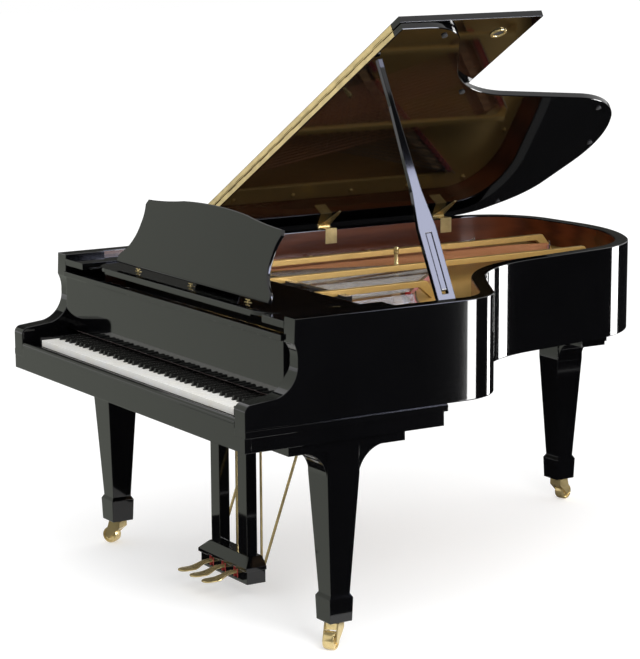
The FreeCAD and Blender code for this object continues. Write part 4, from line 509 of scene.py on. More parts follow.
def wood(name, base, scale, stretch, rough, edge, turn=0.0):
    """Straight-grained wood: bands of darker grain that wander along the length, with open pores."""
    look = Look(name, stretch, turn)
    grain = look.bands("X", Scale=scale, Distortion=3.5, Detail=3.0)
    look.graded(grain, base, [(0.0, 0.62), (0.5, 1.0), (1.0, 1.25)])
    pores = look.noise(scale * 6, 6.0)
    look.rough(pores, rough * 0.8, rough * 1.25)
    look.bumps(pores, 0.1, 0.0005, edge)
    return look.material


def key_plastic(name, base, rough, edge):
    """Moulded key covering: an even colour that yellows faintly, with rounded edges."""
    look = Look(name)
    warm = (base[0] * 0.98, base[1] * 0.95, base[2] * 0.88, 1.0)
    look.tint(look.noise(14.0, 3.0), [(0.3, shade(base, 1.0)), (0.75, warm)])
    fine = look.noise(220.0, 4.0)
    look.rough(fine, rough * 0.8, rough * 1.3)
    look.bumps(fine, 0.03, 0.0003, edge)
    return look.material


def felt_cloth(name, base):
    """Pressed wool: a fuzzy surface with uneven colour."""
    look = Look(name)
    fuzz = look.noise(600.0, 8.0, 0.7)
    look.graded(fuzz, base, [(0.3, 0.6), (0.7, 1.2)])
    look.surface(Roughness=0.95, Sheen_Weight=0.4)
    look.bumps(fuzz, 0.5, 0.001)
    return look.material


def wound_copper(name):
    """Copper winding on a bass string: fine turns across its length."""
    look = Look(name)
    turns = look.bands("Y", Scale=260.0)
    look.graded(turns, colours().copper, [(0.0, 0.55), (1.0, 1.1)])
    look.surface(Metallic=1.0, Roughness=0.3)
    look.bumps(turns, 0.6, 0.0005)
    return look.material


def dull_rubber(name):
    """Black rubber with a fine matt grain."""
    look = Look(name)
    grain = look.noise(500.0, 4.0)
    look.graded(grain, (0.012, 0.012, 0.012), [(0.3, 1.0), (0.7, 2.5)])
    look.surface(Roughness=0.8)
    look.bumps(grain, 0.3, 0.0004)
    return look.material


SPRUCE_GRAIN = math.radians(-38)
FINISHES = {}


def finish(name):
    """A finish by name, made once."""
    if name not in FINISHES:
        c = colours()
        makers = {
            "lacquer": (lacquer, "black_lacquer", sizes().edge_radius),
            "lacquer_shaped": (lacquer, "black_lacquer_shaped", 0.0),
            "brass": (polished_metal, "polished_brass", c.brass, 0.20, 0.0008, 0.7),
            "steel": (polished_metal, "music_wire", (0.50, 0.49, 0.46), 0.22, 0.0004),
            "bronze": (plate_bronze, "bronzed_iron"),
            "mahogany": (wood, "mahogany_veneer", c.mahogany, 9.0, (0.25, 0.25, 2.5), 0.22, 0.001),
            "spruce": (wood, "spruce_board", c.spruce, 60.0, (1.0, 0.04, 1.0), 0.3, 0.001, SPRUCE_GRAIN),
            "maple": (wood, "maple_frame", c.maple, 30.0, (0.3, 0.3, 1.6), 0.4, 0.001),
            # Maple darkened to 2 per cent as painted shade, for the woods in the case's shade
            "dark_maple": (wood, "dark_maple", shade(c.maple, 0.02), 30.0, (0.3, 0.3, 1.6), 0.6, 0.001),
            "ivory": (key_plastic, "ivory_keys", c.ivory, 0.16, 0.0012),
            "ebony": (key_plastic, "ebony_keys", (0.006, 0.006, 0.006), 0.25, 0.0012),
            "red_felt": (felt_cloth, "red_felt", c.felt),
            # Red felt darkened to 7 per cent as painted shade, for the strip in shadow behind the keys
            "felt_painted_shade": (felt_cloth, "dark_red_felt", shade(c.felt, 0.07)),
            "white_felt": (felt_cloth, "white_felt", (0.72, 0.70, 0.64)),
            "copper": (wound_copper, "copper_winding"),
            "rubber": (dull_rubber, "bumper_rubber"),
        }
        maker, *values = makers[name]
        FINISHES[name] = maker(*values)
    return FINISHES[name]


SLOT_FINISH = {
    "black_lacquer": "lacquer",
    "maple": "maple",
    "spruce": "spruce",
    "bronzed_iron": "bronze",
    "steel": "steel",
    "brass": "brass",
    "ivory_plastic": "ivory",
    "ebony_plastic": "ebony",
    "felt": "white_felt",
    "rubber": "rubber",
}

# Woods that lie in the shade of the case, given maple darkened to 2 per cent as painted shade
SHADED_NODES = ("action_frame", "hammers", "key_frame", "pin_block")


class PIANO_OT_finish_frame(bpy.types.Operator):
    """Give every solid of the frame its finish."""

    bl_idname = "piano.finish_frame"
    bl_label = "Finish the frame"

    def execute(self, context):
        slots = {part["node"]: part["material_slot"] for part in frame["record"]["subparts"]}
        for name, obj in NODES.items():
            # Woods in the case's shade get the maple darkened as painted shade
            material = finish("dark_maple" if name in SHADED_NODES else SLOT_FINISH[slots[name]])
            obj.data.materials.clear()
            obj.data.materials.append(material)
        return {"FINISHED"}


def arc_points(a, b, c, count):
    """Points on the circle through three points, from the first to the last."""
    a, b, c = np.array(a), np.array(b), np.array(c)
    chords = np.array([b - a, c - a]) * 2
    centre = np.linalg.solve(chords, [b @ b - a @ a, c @ c - a @ a])
    ray = np.stack([a, b, c]) - centre
    angle = np.unwrap(np.arctan2(ray[:, 1], ray[:, 0]))
    steps = np.linspace(angle[0], angle[2], count)
    return centre + np.linalg.norm(a - centre) * np.stack([np.cos(steps), np.sin(steps)], axis=1)


def arm_outline():
    """Side of an arm as (y, z) points: front, nose, rest, scroll and upright."""
    nose = arc_points((0, 0.735), (0.00644, 0.75056), (0.022, 0.757), 8)
    scroll = arc_points((0.100, 0.765), (0.1504, 0.7957), (0.170, 0.858), 24)
    lip = arc_points((0.170, 0.858), (0.1685, 0.885), (0.159, 0.912), 14)
    upright = np.array([[0.162, RIM_TOP], [ARM_END, RIM_TOP], [ARM_END, RIM_BOTTOM], [0, RIM_BOTTOM]])
    points = np.vstack([nose, [[0.098, 0.7648]], scroll, lip[1:], upright])
    return points[::-1]


VENEER_GAP = 0.0002       # between the veneer and the rim
VENEER_ROUND = 0.0004
VENEER_BOTTOM = 0.852
VENEER_TOP = RIM_TOP - 0.004
VENEER_FRONT = ARM_END + 0.002


class PIANO_OT_rim(bpy.types.Operator):
    """Bent rim, its arms and the veneer on its inside."""

    bl_idname = "piano.rim"
    bl_label = "Rim and arms"

    def execute(self, context):
        r = sizes().edge_radius
        profile = rounded_profile(-RIM_THICKNESS, 0.0, RIM_BOTTOM, RIM_TOP, r)
        wall = swept_wall(*case_path(ARM_END), profile)
        add_piece("rim_wall", wall, "lacquer_shaped", "case", ("outer_rim",))
        side = arm_outline()
        out = outline_normals(side)
        rear = np.isclose(side[:, 0], ARM_END)
        middle = (RIM_TOP + RIM_BOTTOM) / 2
        out[rear] = np.stack([np.zeros(rear.sum()), np.sign(side[rear, 1] - middle)], axis=1)
        flat, faces = rounded_slab(side, out, ARM_INSIDE, HALF_CASE, r)
        for name, sign in (("arm_treble", 1), ("arm_bass", -1)):
            verts = np.stack([sign * flat[:, 2], flat[:, 0], flat[:, 1]], axis=1)
            add_piece(name, (verts, faces), "lacquer_shaped", "case")
        self.veneer()
        return {"FINISHED"}

    def veneer(self):
        """Thin wood band on the rim's inner face, above the plate."""
        outer = -RIM_THICKNESS - VENEER_GAP
        band = rounded_profile(outer - sizes().veneer, outer, VENEER_BOTTOM, VENEER_TOP, VENEER_ROUND)
        add_piece("rim_veneer", swept_wall(*case_path(VENEER_FRONT), band), "mahogany", "case")


# Lock on the flap: a rolled ring round a shallow cup
LOCK_PLACE = (0.652, 0.240, LID_TOP)
LOCK_RING = np.array([0.0215, 0.002])     # radius and height of the roll's middle
LOCK_ROLL = np.array([0.0045, 0.0035])    # half width and half height of the roll
LOCK_CUP_RADIUS = 0.0185
LOCK_CUP_RISE = 0.0015


class PIANO_OT_lid(bpy.types.Operator):
    """Rear leaf of the lid with rounded edges, and the lock on the flap."""

    bl_idname = "piano.lid"
    bl_label = "Lid"

    def execute(self, context):
        points, normals = case_path(LID_FRONT)
        along_hinge = np.clip(-normals[:, :1], 0, 1) ** HINGE_FADE_POWER
        points = points + normals * (LID_OVERHANG + HINGE_OVERHANG * along_hinge)
        normals[0] = (1.0, -1.0)
        normals[-1] = (-1.0, -1.0)
        verts, faces = rounded_slab(points, normals, LID_UNDER, LID_TOP, sizes().edge_radius)
        hinge_side = np.clip((-verts[:, 0] - HINGE_SLOPE_FROM) / HINGE_SLOPE_FADE, 0, 1)
        below_top = (LID_TOP - verts[:, 2]) / (LID_TOP - LID_UNDER)
        verts[:, 0] -= HINGE_SLOPE * below_top * hinge_side
        add_piece("lid_leaf", (lid_up(verts), faces), "lacquer_shaped", "lid", ("lid_main",))
        turn = np.arange(10) * math.pi / 5
        roll = LOCK_RING + LOCK_ROLL * np.stack([np.cos(turn), np.sin(turn)], axis=1)
        ring, faces = lathe(roll, 40, LOCK_PLACE)
        add_piece("flap_lock_ring", (flap_over(ring), faces), "brass", "flap")
        cup, faces = dome(LOCK_CUP_RADIUS, LOCK_CUP_RISE, 32, LOCK_PLACE)
        add_piece("flap_lock_cup", (flap_over(cup), faces), "rubber", "flap")
        return {"FINISHED"}


def desk_outline():
    """Desk outline as (x, up) points, anticlockwise: foot, hips, waist, shoulders and crown, arc by arc."""
    foot = arc_points((0.470, 0.0042), (0.471, 0.020), (0.456, 0.040), 14)
    hip = arc_points((0.456, 0.040), (0.415, 0.085), (0.403, 0.140), 20)
    waist = arc_points((0.403, 0.140), (0.407, 0.182), (0.416, 0.203), 12)
    shoulder = arc_points((0.407, 0.220), (0.305, 0.226), (0.194, 0.239), 20)
    crown = arc_points((0.194, 0.239), (0.0, 0.247), (-0.194, 0.239), 41)[:21]
    right = np.vstack([foot, hip[1:], waist[1:], shoulder, crown[1:]])
    left = right[:-1][::-1] * np.array([-1, 1])
    return np.vstack([right, left])


def on_desk(flat):
    """Stand points (x, up, behind) on the desk's hinge line, leaning back."""
    c = math.cos(DESK_LEAN)
    s = math.sin(DESK_LEAN)
    return np.stack([flat[:, 0], DESK_AXIS[0] + flat[:, 1] * s + flat[:, 2] * c,
                     DESK_AXIS[1] + flat[:, 1] * c - flat[:, 2] * s], axis=1)


DESK_ROUND = 0.0035
HINGE_LEAF_HALF = (0.013, 0.005)     # half length and half depth of a leaf on the tray
HINGE_LEAF_BACK = 0.001              # its middle behind the hinge line
HINGE_LEAF_FOOT = TRAY_TOP + 0.0005
HINGE_LEAF_THICKNESS = 0.0012
HINGE_LEAF_ROUND = 0.0004
HINGE_PIN_HALF = np.array([0.011, 0, 0])
HINGE_PIN_RADIUS = 0.0020
HINGE_POST = np.array([0, 0, 0.0075])
HINGE_POST_RADIUS = 0.0016


class PIANO_OT_music_stand(bpy.types.Operator):
    """Desk with rounded edges, and the small hinges below it."""

    bl_idname = "piano.music_stand"
    bl_label = "Music stand"

    def execute(self, context):
        outline = desk_outline()
        flat, faces = rounded_slab(outline, outline_normals(outline), -DESK_THICKNESS, 0.0, DESK_ROUND)
        panel = (on_desk(flat), faces)
        add_piece("desk_panel", panel, "lacquer_shaped", "desk", ("music_desk",))
        places = np.array([-DESK_HINGE_SPACING, 0.0, DESK_HINGE_SPACING])
        half_length, half_depth = HINGE_LEAF_HALF
        top = HINGE_LEAF_FOOT + HINGE_LEAF_THICKNESS
        leaf = rounded_profile(-half_depth, half_depth, HINGE_LEAF_FOOT, top, HINGE_LEAF_ROUND)
        axis_y, axis_z = DESK_AXIS
        y = axis_y + HINGE_LEAF_BACK
        back = np.array([[0.0, 1.0], [0.0, 1.0]])
        parts = []
        for x in places:
            line = np.array([[x - half_length, y], [x + half_length, y]])
            parts.append(swept_wall(line, back, leaf))
        middle = np.stack([places, np.full(3, axis_y), np.full(3, axis_z)], axis=1)
        thick = np.full(3, HINGE_PIN_RADIUS)
        parts.append(tubes(middle - HINGE_PIN_HALF, middle + HINGE_PIN_HALF, thick, 16))
        parts.append(tubes(middle - HINGE_POST, middle, np.full(3, HINGE_POST_RADIUS), 8))
        add_piece("desk_hinge_leaves", join(parts), "brass", "tray", ("desk_hinges",))
        return {"FINISHED"}


# Each pair below is a value at the first note of a range and its change up to the last
BASS_LENGTH = (1.300, -0.180)
BASS_TILT = (12, 5)
BASS_RADIUS = (0.0026, -0.0015)
PLAIN_TILT = (-14, 12)
PLAIN_SHORTEST = 0.175
PLAIN_GROWTH = 1.015
PLAIN_CURVE = 1.6
PLAIN_RADIUS = 0.0006
WOUND_SHARE = 0.75        # drawn radius of a wound string, as a share of its full one
SINGLE_NOTES = 10         # lowest notes, with one string each

# Tuning pins, in rows that lie nearer the player for the second and third string of a note
PIN_Y = 0.500
PIN_ROW = 0.030
PIN_STAGGER = 0.012
PIN_SPREAD = 1.2
PIN_LEAN = 0.06
PIN_FOOT = PLATE_TOP - 0.004
PIN_NECK = np.array([0, 0, 0.020])     # foot to the start of the squared head
PIN_END = np.array([0, 0, 0.032])
PIN_RADIUS = 0.0034
PIN_HEAD_RADIUS = 0.0027
COIL_Z = 0.9085
BASS_COIL_LIFT = 0.004


def changed(pair, share):
    """First value of a pair, with a share of its change."""
    return pair[0] + pair[1] * share


def note_lines():
    """Agraffe points, directions and lengths of all the notes, as arrays."""
    x = np.concatenate([np.linspace(a, b, count) for count, a, b in SECTIONS])
    note = np.arange(NOTE_COUNT)
    bass = note < BASS_NOTES
    low = note / (BASS_NOTES - 1)
    high = (note - BASS_NOTES) / (NOTE_COUNT - 1 - BASS_NOTES)
    plain = PLAIN_SHORTEST + PLAIN_GROWTH * np.clip(1 - high, 0, 1) ** PLAIN_CURVE
    length = np.where(bass, changed(BASS_LENGTH, low), plain)
    tilt = np.radians(np.where(bass, changed(BASS_TILT, low), changed(PLAIN_TILT, high)))
    start = np.stack([x, np.full(NOTE_COUNT, AGRAFFE_Y), np.where(bass, BASS_Z, PLAIN_Z)], axis=1)
    along = np.stack([np.sin(tilt), np.cos(tilt), np.zeros(NOTE_COUNT)], axis=1)
    return start, along, length


class PIANO_OT_strings(bpy.types.Operator):
    """Strings in ones, twos and threes, with their tuning pins."""

    bl_idname = "piano.strings"
    bl_label = "Strings and pins"

    def execute(self, context):
        start, along, length = note_lines()
        note = np.arange(NOTE_COUNT)
        per_note = np.where(note < SINGLE_NOTES, 1, np.where(note < BASS_NOTES, 2, 3))
        which = np.repeat(note, per_note)
        count = len(which)
        order = np.concatenate([np.arange(n) for n in per_note])
        aside = (order - (per_note[which] - 1) / 2) * sizes().string_spread
        agraffe = start[which] + np.stack([aside, np.zeros(count), np.zeros(count)], axis=1)
        end = agraffe + along[which] * length[which][:, None]
        plain = which >= BASS_NOTES
        wound = changed(BASS_RADIUS, which / (BASS_NOTES - 1)) * WOUND_SHARE
        thick = np.where(plain, PLAIN_RADIUS, wound)
        pin_y = PIN_Y - PIN_ROW * order - PIN_STAGGER * (which % 2)
        pin_x = start[which, 0] + aside * PIN_SPREAD - along[which, 0] * PIN_LEAN
        coil_z = np.where(plain, COIL_Z, COIL_Z + BASS_COIL_LIFT)
        front = np.stack([pin_x + PIN_RADIUS, pin_y, coil_z], axis=1)
        for name, chosen, look, replaced in (("strings_plain", plain, "steel", ("strings",)),
                                             ("strings_wound", ~plain, "copper", ())):
            strings = join([tubes(front[chosen], agraffe[chosen], thick[chosen]),
                            tubes(agraffe[chosen], end[chosen], thick[chosen])])
            add_piece(name, strings, look, "case", replaced)
        foot = np.stack([pin_x, pin_y, np.full(count, PIN_FOOT)], axis=1)
        pins = join([tubes(foot, foot + PIN_NECK, np.full(count, PIN_RADIUS), 8),
                     tubes(foot + PIN_NECK, foot + PIN_END, np.full(count, PIN_HEAD_RADIUS), 4)])
        add_piece("tuning_pin_heads", pins, "steel", "case", ("tuning_pins",))
        return {"FINISHED"}


# Bolts along the plate's edge, and felts with their half width and top
PLATE_FRONT = 0.60
BOLT_INSET = 0.064        # from the outside of the case
BOLT_MARGINS = (0.10, 0.05)
BOLT_HEIGHT = 0.006
FELT_ROUND = 0.0015
FRONT_FELT_Y = 0.528
FRONT_FELT_PAST = 0.010   # past the outer strings of a section
FRONT_FELT = (0.014, 0.9055)
PLAIN_FELT = (0.009, 0.9062)
BASS_FELT = (0.009, 0.9165)
STRING_END = 0.002        # from a string's end back to the middle of its felt

# Tall nose bolt between the first two struts, as (radius, height) points from its foot to its ball
NOSE_BOLT = (-0.218, 1.125)
NOSE_BOLT_PROFILE = (
    (0.0001, 0.0), (0.0022, 0.0), (0.0022, 0.022), (0.0085, 0.023), (0.0085, 0.028),
    (0.0072, 0.031), (0.0066, 0.068), (0.0088, 0.070), (0.0088, 0.073), (0.0055, 0.075),
    (0.0082, 0.078), (0.0095, 0.083), (0.0082, 0.088), (0.0045, 0.0905), (0.0001, 0.091),
)


class PIANO_OT_plate_trim(bpy.types.Operator):
    """Bolts on the plate and the red felts under the strings."""

    bl_idname = "piano.plate_trim"
    bl_label = "Plate trim"

    def execute(self, context):
        points, normals = case_path(PLATE_FRONT)
        line = points - normals * BOLT_INSET
        place = np.concatenate([[0], np.cumsum(np.linalg.norm(np.diff(line, axis=0), axis=1))])
        spots = np.arange(BOLT_MARGINS[0], place[-1] - BOLT_MARGINS[1], sizes().bolt_spacing)
        x = np.interp(spots, place, line[:, 0])
        y = np.interp(spots, place, line[:, 1])
        bolts = [dome(sizes().bolt_radius, BOLT_HEIGHT, 20, (a, b, PLATE_TOP)) for a, b in zip(x, y)]
        add_piece("plate_bolt_heads", join(bolts), "bronze", "case")
        start, along, length = note_lines()
        self.nose_bolt(start, along)
        felts = []
        for count, a, b in SECTIONS:
            ends = np.array([[a - FRONT_FELT_PAST, FRONT_FELT_Y], [b + FRONT_FELT_PAST, FRONT_FELT_Y]])
            felts.append(self.strip(ends, *FRONT_FELT))
        shelf = (start + along * (length - STRING_END)[:, None])[:, :2]
        first = BASS_NOTES
        for count, a, b in SECTIONS[1:]:
            felts.append(self.strip(shelf[first:first + count], *PLAIN_FELT))
            first += count
        felts.append(self.strip(shelf[:BASS_NOTES], *BASS_FELT))
        add_piece("string_felts", join(felts), "red_felt", "case")
        return {"FINISHED"}

    def nose_bolt(self, start, along):
        """Tall turned bolt with a ball on top, its thin shank between two notes."""
        place_x, place_y = NOSE_BOLT
        x = start[:, 0] + along[:, 0] / along[:, 1] * (place_y - AGRAFFE_Y)
        gaps = (x[BASS_NOTES:-1] + x[BASS_NOTES + 1:]) / 2
        foot = (gaps[np.argmin(np.abs(gaps - place_x))], place_y, PLATE_TOP)
        add_piece("nose_bolt", lathe(NOSE_BOLT_PROFILE, 32, foot), "brass", "case")

    def strip(self, line, half, top):
        """Felt ribbon that follows a plan line, half wide to each side of it."""
        along = np.gradient(line, axis=0)
        along /= np.linalg.norm(along, axis=1)[:, None]
        across = np.stack([along[:, 1], -along[:, 0]], axis=1)
        return swept_wall(line, across, rounded_profile(-half, half, PLATE_TOP, top, FELT_ROUND))


PEDALS = {"soft": -0.075, "middle": 0.0, "sustain": 0.075}
PEDAL_TIP = 0.226
PEDAL_REAR = 0.448
PEDAL_ROUND = 0.024       # length of the rounded tip
PADDLE_NECK = (0.272, 0.326)
PEDAL_SIDES = 24
PEDAL_SQUARE = 0.7        # 1 is an oval section, and less is nearer to a rectangle

# Each pair is a value on the paddle and its change towards the shank
PEDAL_HEIGHT = (0.0635, 0.0145)
PEDAL_HALF_WIDTH = (0.0215, -0.0130)
PEDAL_HALF_DEPTH = (0.0043, 0.0015)

# Felt in a pedal's slot: half width and top of its outside and its inside
LINING = ((0.0119, 0.0959), (0.0094, 0.0930))
LINING_FOOT = 0.0602
LINING_FRONT = 0.3438
LINING_BACK = 0.3578


class PIANO_OT_pedals(bpy.types.Operator):
    """Cast pedals with rounded paddles, and the felts in the slots of the pedal box."""

    bl_idname = "piano.pedals"
    bl_label = "Pedals"

    def execute(self, context):
        for name, x in PEDALS.items():
            node = "pedal_" + name
            add_piece("pedal_lever_" + name, self.lever(x), "brass", node, (node,))
        linings = join([self.lining(x) for x in PEDALS.values()])
        add_piece("pedal_slot_felts", linings, "red_felt", "case")
        return {"FINISHED"}

    def lever(self, x):
        """A rounded section carried back along the lever: its width swells into the paddle, its
        height drops towards the player, and both close round the tip."""
        nose = PEDAL_TIP + PEDAL_ROUND * (1 - np.cos(np.linspace(0, math.pi / 2, 14)))
        y = np.concatenate([nose, np.linspace(PEDAL_TIP + PEDAL_ROUND * 1.1, PEDAL_REAR, 56)])
        t = np.clip((y - PADDLE_NECK[0]) / (PADDLE_NECK[1] - PADDLE_NECK[0]), 0, 1)
        rise = t * t * (3 - 2 * t)
        tip = np.sqrt(np.clip(1 - (1 - np.clip((y - PEDAL_TIP) / PEDAL_ROUND, 0, 1)) ** 2, 0.0004, 1))
        middle = changed(PEDAL_HEIGHT, rise)
        half_width = changed(PEDAL_HALF_WIDTH, rise) * tip
        half_depth = changed(PEDAL_HALF_DEPTH, rise) * np.sqrt(tip)
        angle = np.linspace(0, 2 * math.pi, PEDAL_SIDES, endpoint=False)
        across = np.sign(np.cos(angle)) * np.abs(np.cos(angle)) ** PEDAL_SQUARE
        up = np.sign(np.sin(angle)) * np.abs(np.sin(angle)) ** PEDAL_SQUARE
        verts = np.stack([x + half_width[:, None] * across, np.repeat(y[:, None], PEDAL_SIDES, axis=1),
                          middle[:, None] + half_depth[:, None] * up], axis=2).reshape(-1, 3)
        return verts, tube_faces(len(y), PEDAL_SIDES)

    def lining(self, x):
        """Felt over the top and both sides of a slot: a flat strip carried round three sides of it."""
        outer, inner = [np.array([[half, LINING_FOOT], [half, top], [-half, top], [-half, LINING_FOOT]])
                        for half, top in LINING]
        line = np.array([[x, LINING_FRONT], [x, LINING_BACK]])
        return swept_wall(line, np.array([[1.0, 0.0], [1.0, 0.0]]), np.concatenate([outer, inner[::-1]]))


# Rear leg's brackets, hollowed by a quarter ellipse, and the plate on them
REAR_LEG = (-0.348, 1.903)
REAR_LEG_WIDTH = 0.106
BRACKET_REACH = 0.066
BRACKET_FOOT = 0.508
BRACKET_RISE = 0.072
BRACKET_INSET = 0.003
BRACKET_ROUND = 0.0015
HEAD_PLATE = np.array([[0.183, 0.580], [0.183, 0.598], [-0.128, 0.598], [-0.128, 0.580]])


class PIANO_OT_rear_leg(bpy.types.Operator):
    """Plate under the rear leg's head, with a hollow bracket on either side of the leg."""

    bl_idname = "piano.rear_leg"
    bl_label = "Rear leg brackets"

    def execute(self, context):
        half = REAR_LEG_WIDTH / 2
        turn = np.linspace(0, math.pi / 2, 12)
        hollow = np.stack([half + BRACKET_REACH * (1 - np.cos(turn)),
                           BRACKET_FOOT + BRACKET_RISE * np.sin(turn)], axis=1)
        bass = hollow * np.array([-1, 1])
        side = np.vstack([hollow, HEAD_PLATE, bass[::-1]])
        reach = half - BRACKET_INSET
        flat, faces = rounded_slab(side, outline_normals(side), -reach, reach, BRACKET_ROUND)
        x, y = REAR_LEG
        verts = np.stack([x + flat[:, 0], y - flat[:, 2], flat[:, 1]], axis=1)
        add_piece("rear_leg_brackets", (verts, faces), "lacquer_shaped", "case")
        return {"FINISHED"}


# Half of a wheel's section as (radius, along the axle) points, from the bore out to the tread
WHEEL_HALF = np.array([
    [0.0041, -0.017], [0.010, -0.017], [0.0105, -0.0145], [0.019, -0.0135],
    [0.0205, -0.0165], [0.0245, -0.0165], [0.0264, -0.0140], [0.027, -0.009],
])


class PIANO_OT_casters(bpy.types.Operator):
    """Caster wheels with a rounded tread and a raised hub."""

    bl_idname = "piano.casters"
    bl_label = "Casters"

    def execute(self, context):
        profile = np.vstack([WHEEL_HALF, WHEEL_HALF[::-1] * np.array([1, -1])])
        for name in ("left", "right", "rear"):
            joint = next(j for j in frame["joints"] if j["name"] == "wheel_%s_roll" % name)
            wheel = lathe(profile, 64, CENTRE + np.array(joint["pos_m"]), joint["axis"])
            node = "caster_wheel_" + name
            add_piece("wheel_tread_" + name, wheel, "brass", "wheel_" + name, (node,))
        return {"FINISHED"}


KEY_FELT_LINE = np.array([[-0.6135, 0.168], [0.6135, 0.168]])
KEY_FELT_SECTION = (-0.004, 0.004, 0.7402, 0.7442, 0.0012)     # front, back, foot, top and rounding


class PIANO_OT_key_felt(bpy.types.Operator):
    """Red felt strip below the fallboard, behind the keys, darkened as painted shade."""

    bl_idname = "piano.key_felt"
    bl_label = "Key felt"

    def execute(self, context):
        across = np.array([[0.0, -1.0], [0.0, -1.0]])
        strip = swept_wall(KEY_FELT_LINE, across, rounded_profile(*KEY_FELT_SECTION))
        # The strip's felt is the red felt darkened as painted shade
        add_piece("key_felt", strip, "felt_painted_shade", "key_cover")
        return {"FINISHED"}


# Stage
FLOOR_HALF = 30.0
FLOOR_GLOW = 0.38
LAVENDER = (0.70, 0.74, 1.0)
BLACK = (0.015, 0.015, 0.016, 1)
DARK = (0.06, 0.06, 0.055, 1)
PALE = (0.60, 0.63, 0.55, 1)
SHEET_LOW = 0.003         # the sheets on the floor lie just clear of it
SHEET_NEAR = 0.004
SHEET_HIGH = 3.2
SHEET_FAR = 12
SHEET_SIDE = 2.35         # upright sheets on the treble side
STRIP_START = 1.86        # gap between those sheets, for the lamps that show as streaks
STRIP_END = 3.0
STRIP_TOP = 2.76
AIM = (0, 0.6, 0.6)
SENSOR = 36.0


def wall_corners(x, y, z):
    """Corners of an upright sheet across X, from its ranges along Y and Z."""
    return [(x, y[0], z[0]), (x, y[1], z[0]), (x, y[1], z[1]), (x, y[0], z[1])]


def floor_corners(x, y, z):
    """Corners of a level sheet, from its ranges along X and Y."""
    return [(x[0], y[0], z), (x[1], y[0], z), (x[1], y[1], z), (x[0], y[1], z)]


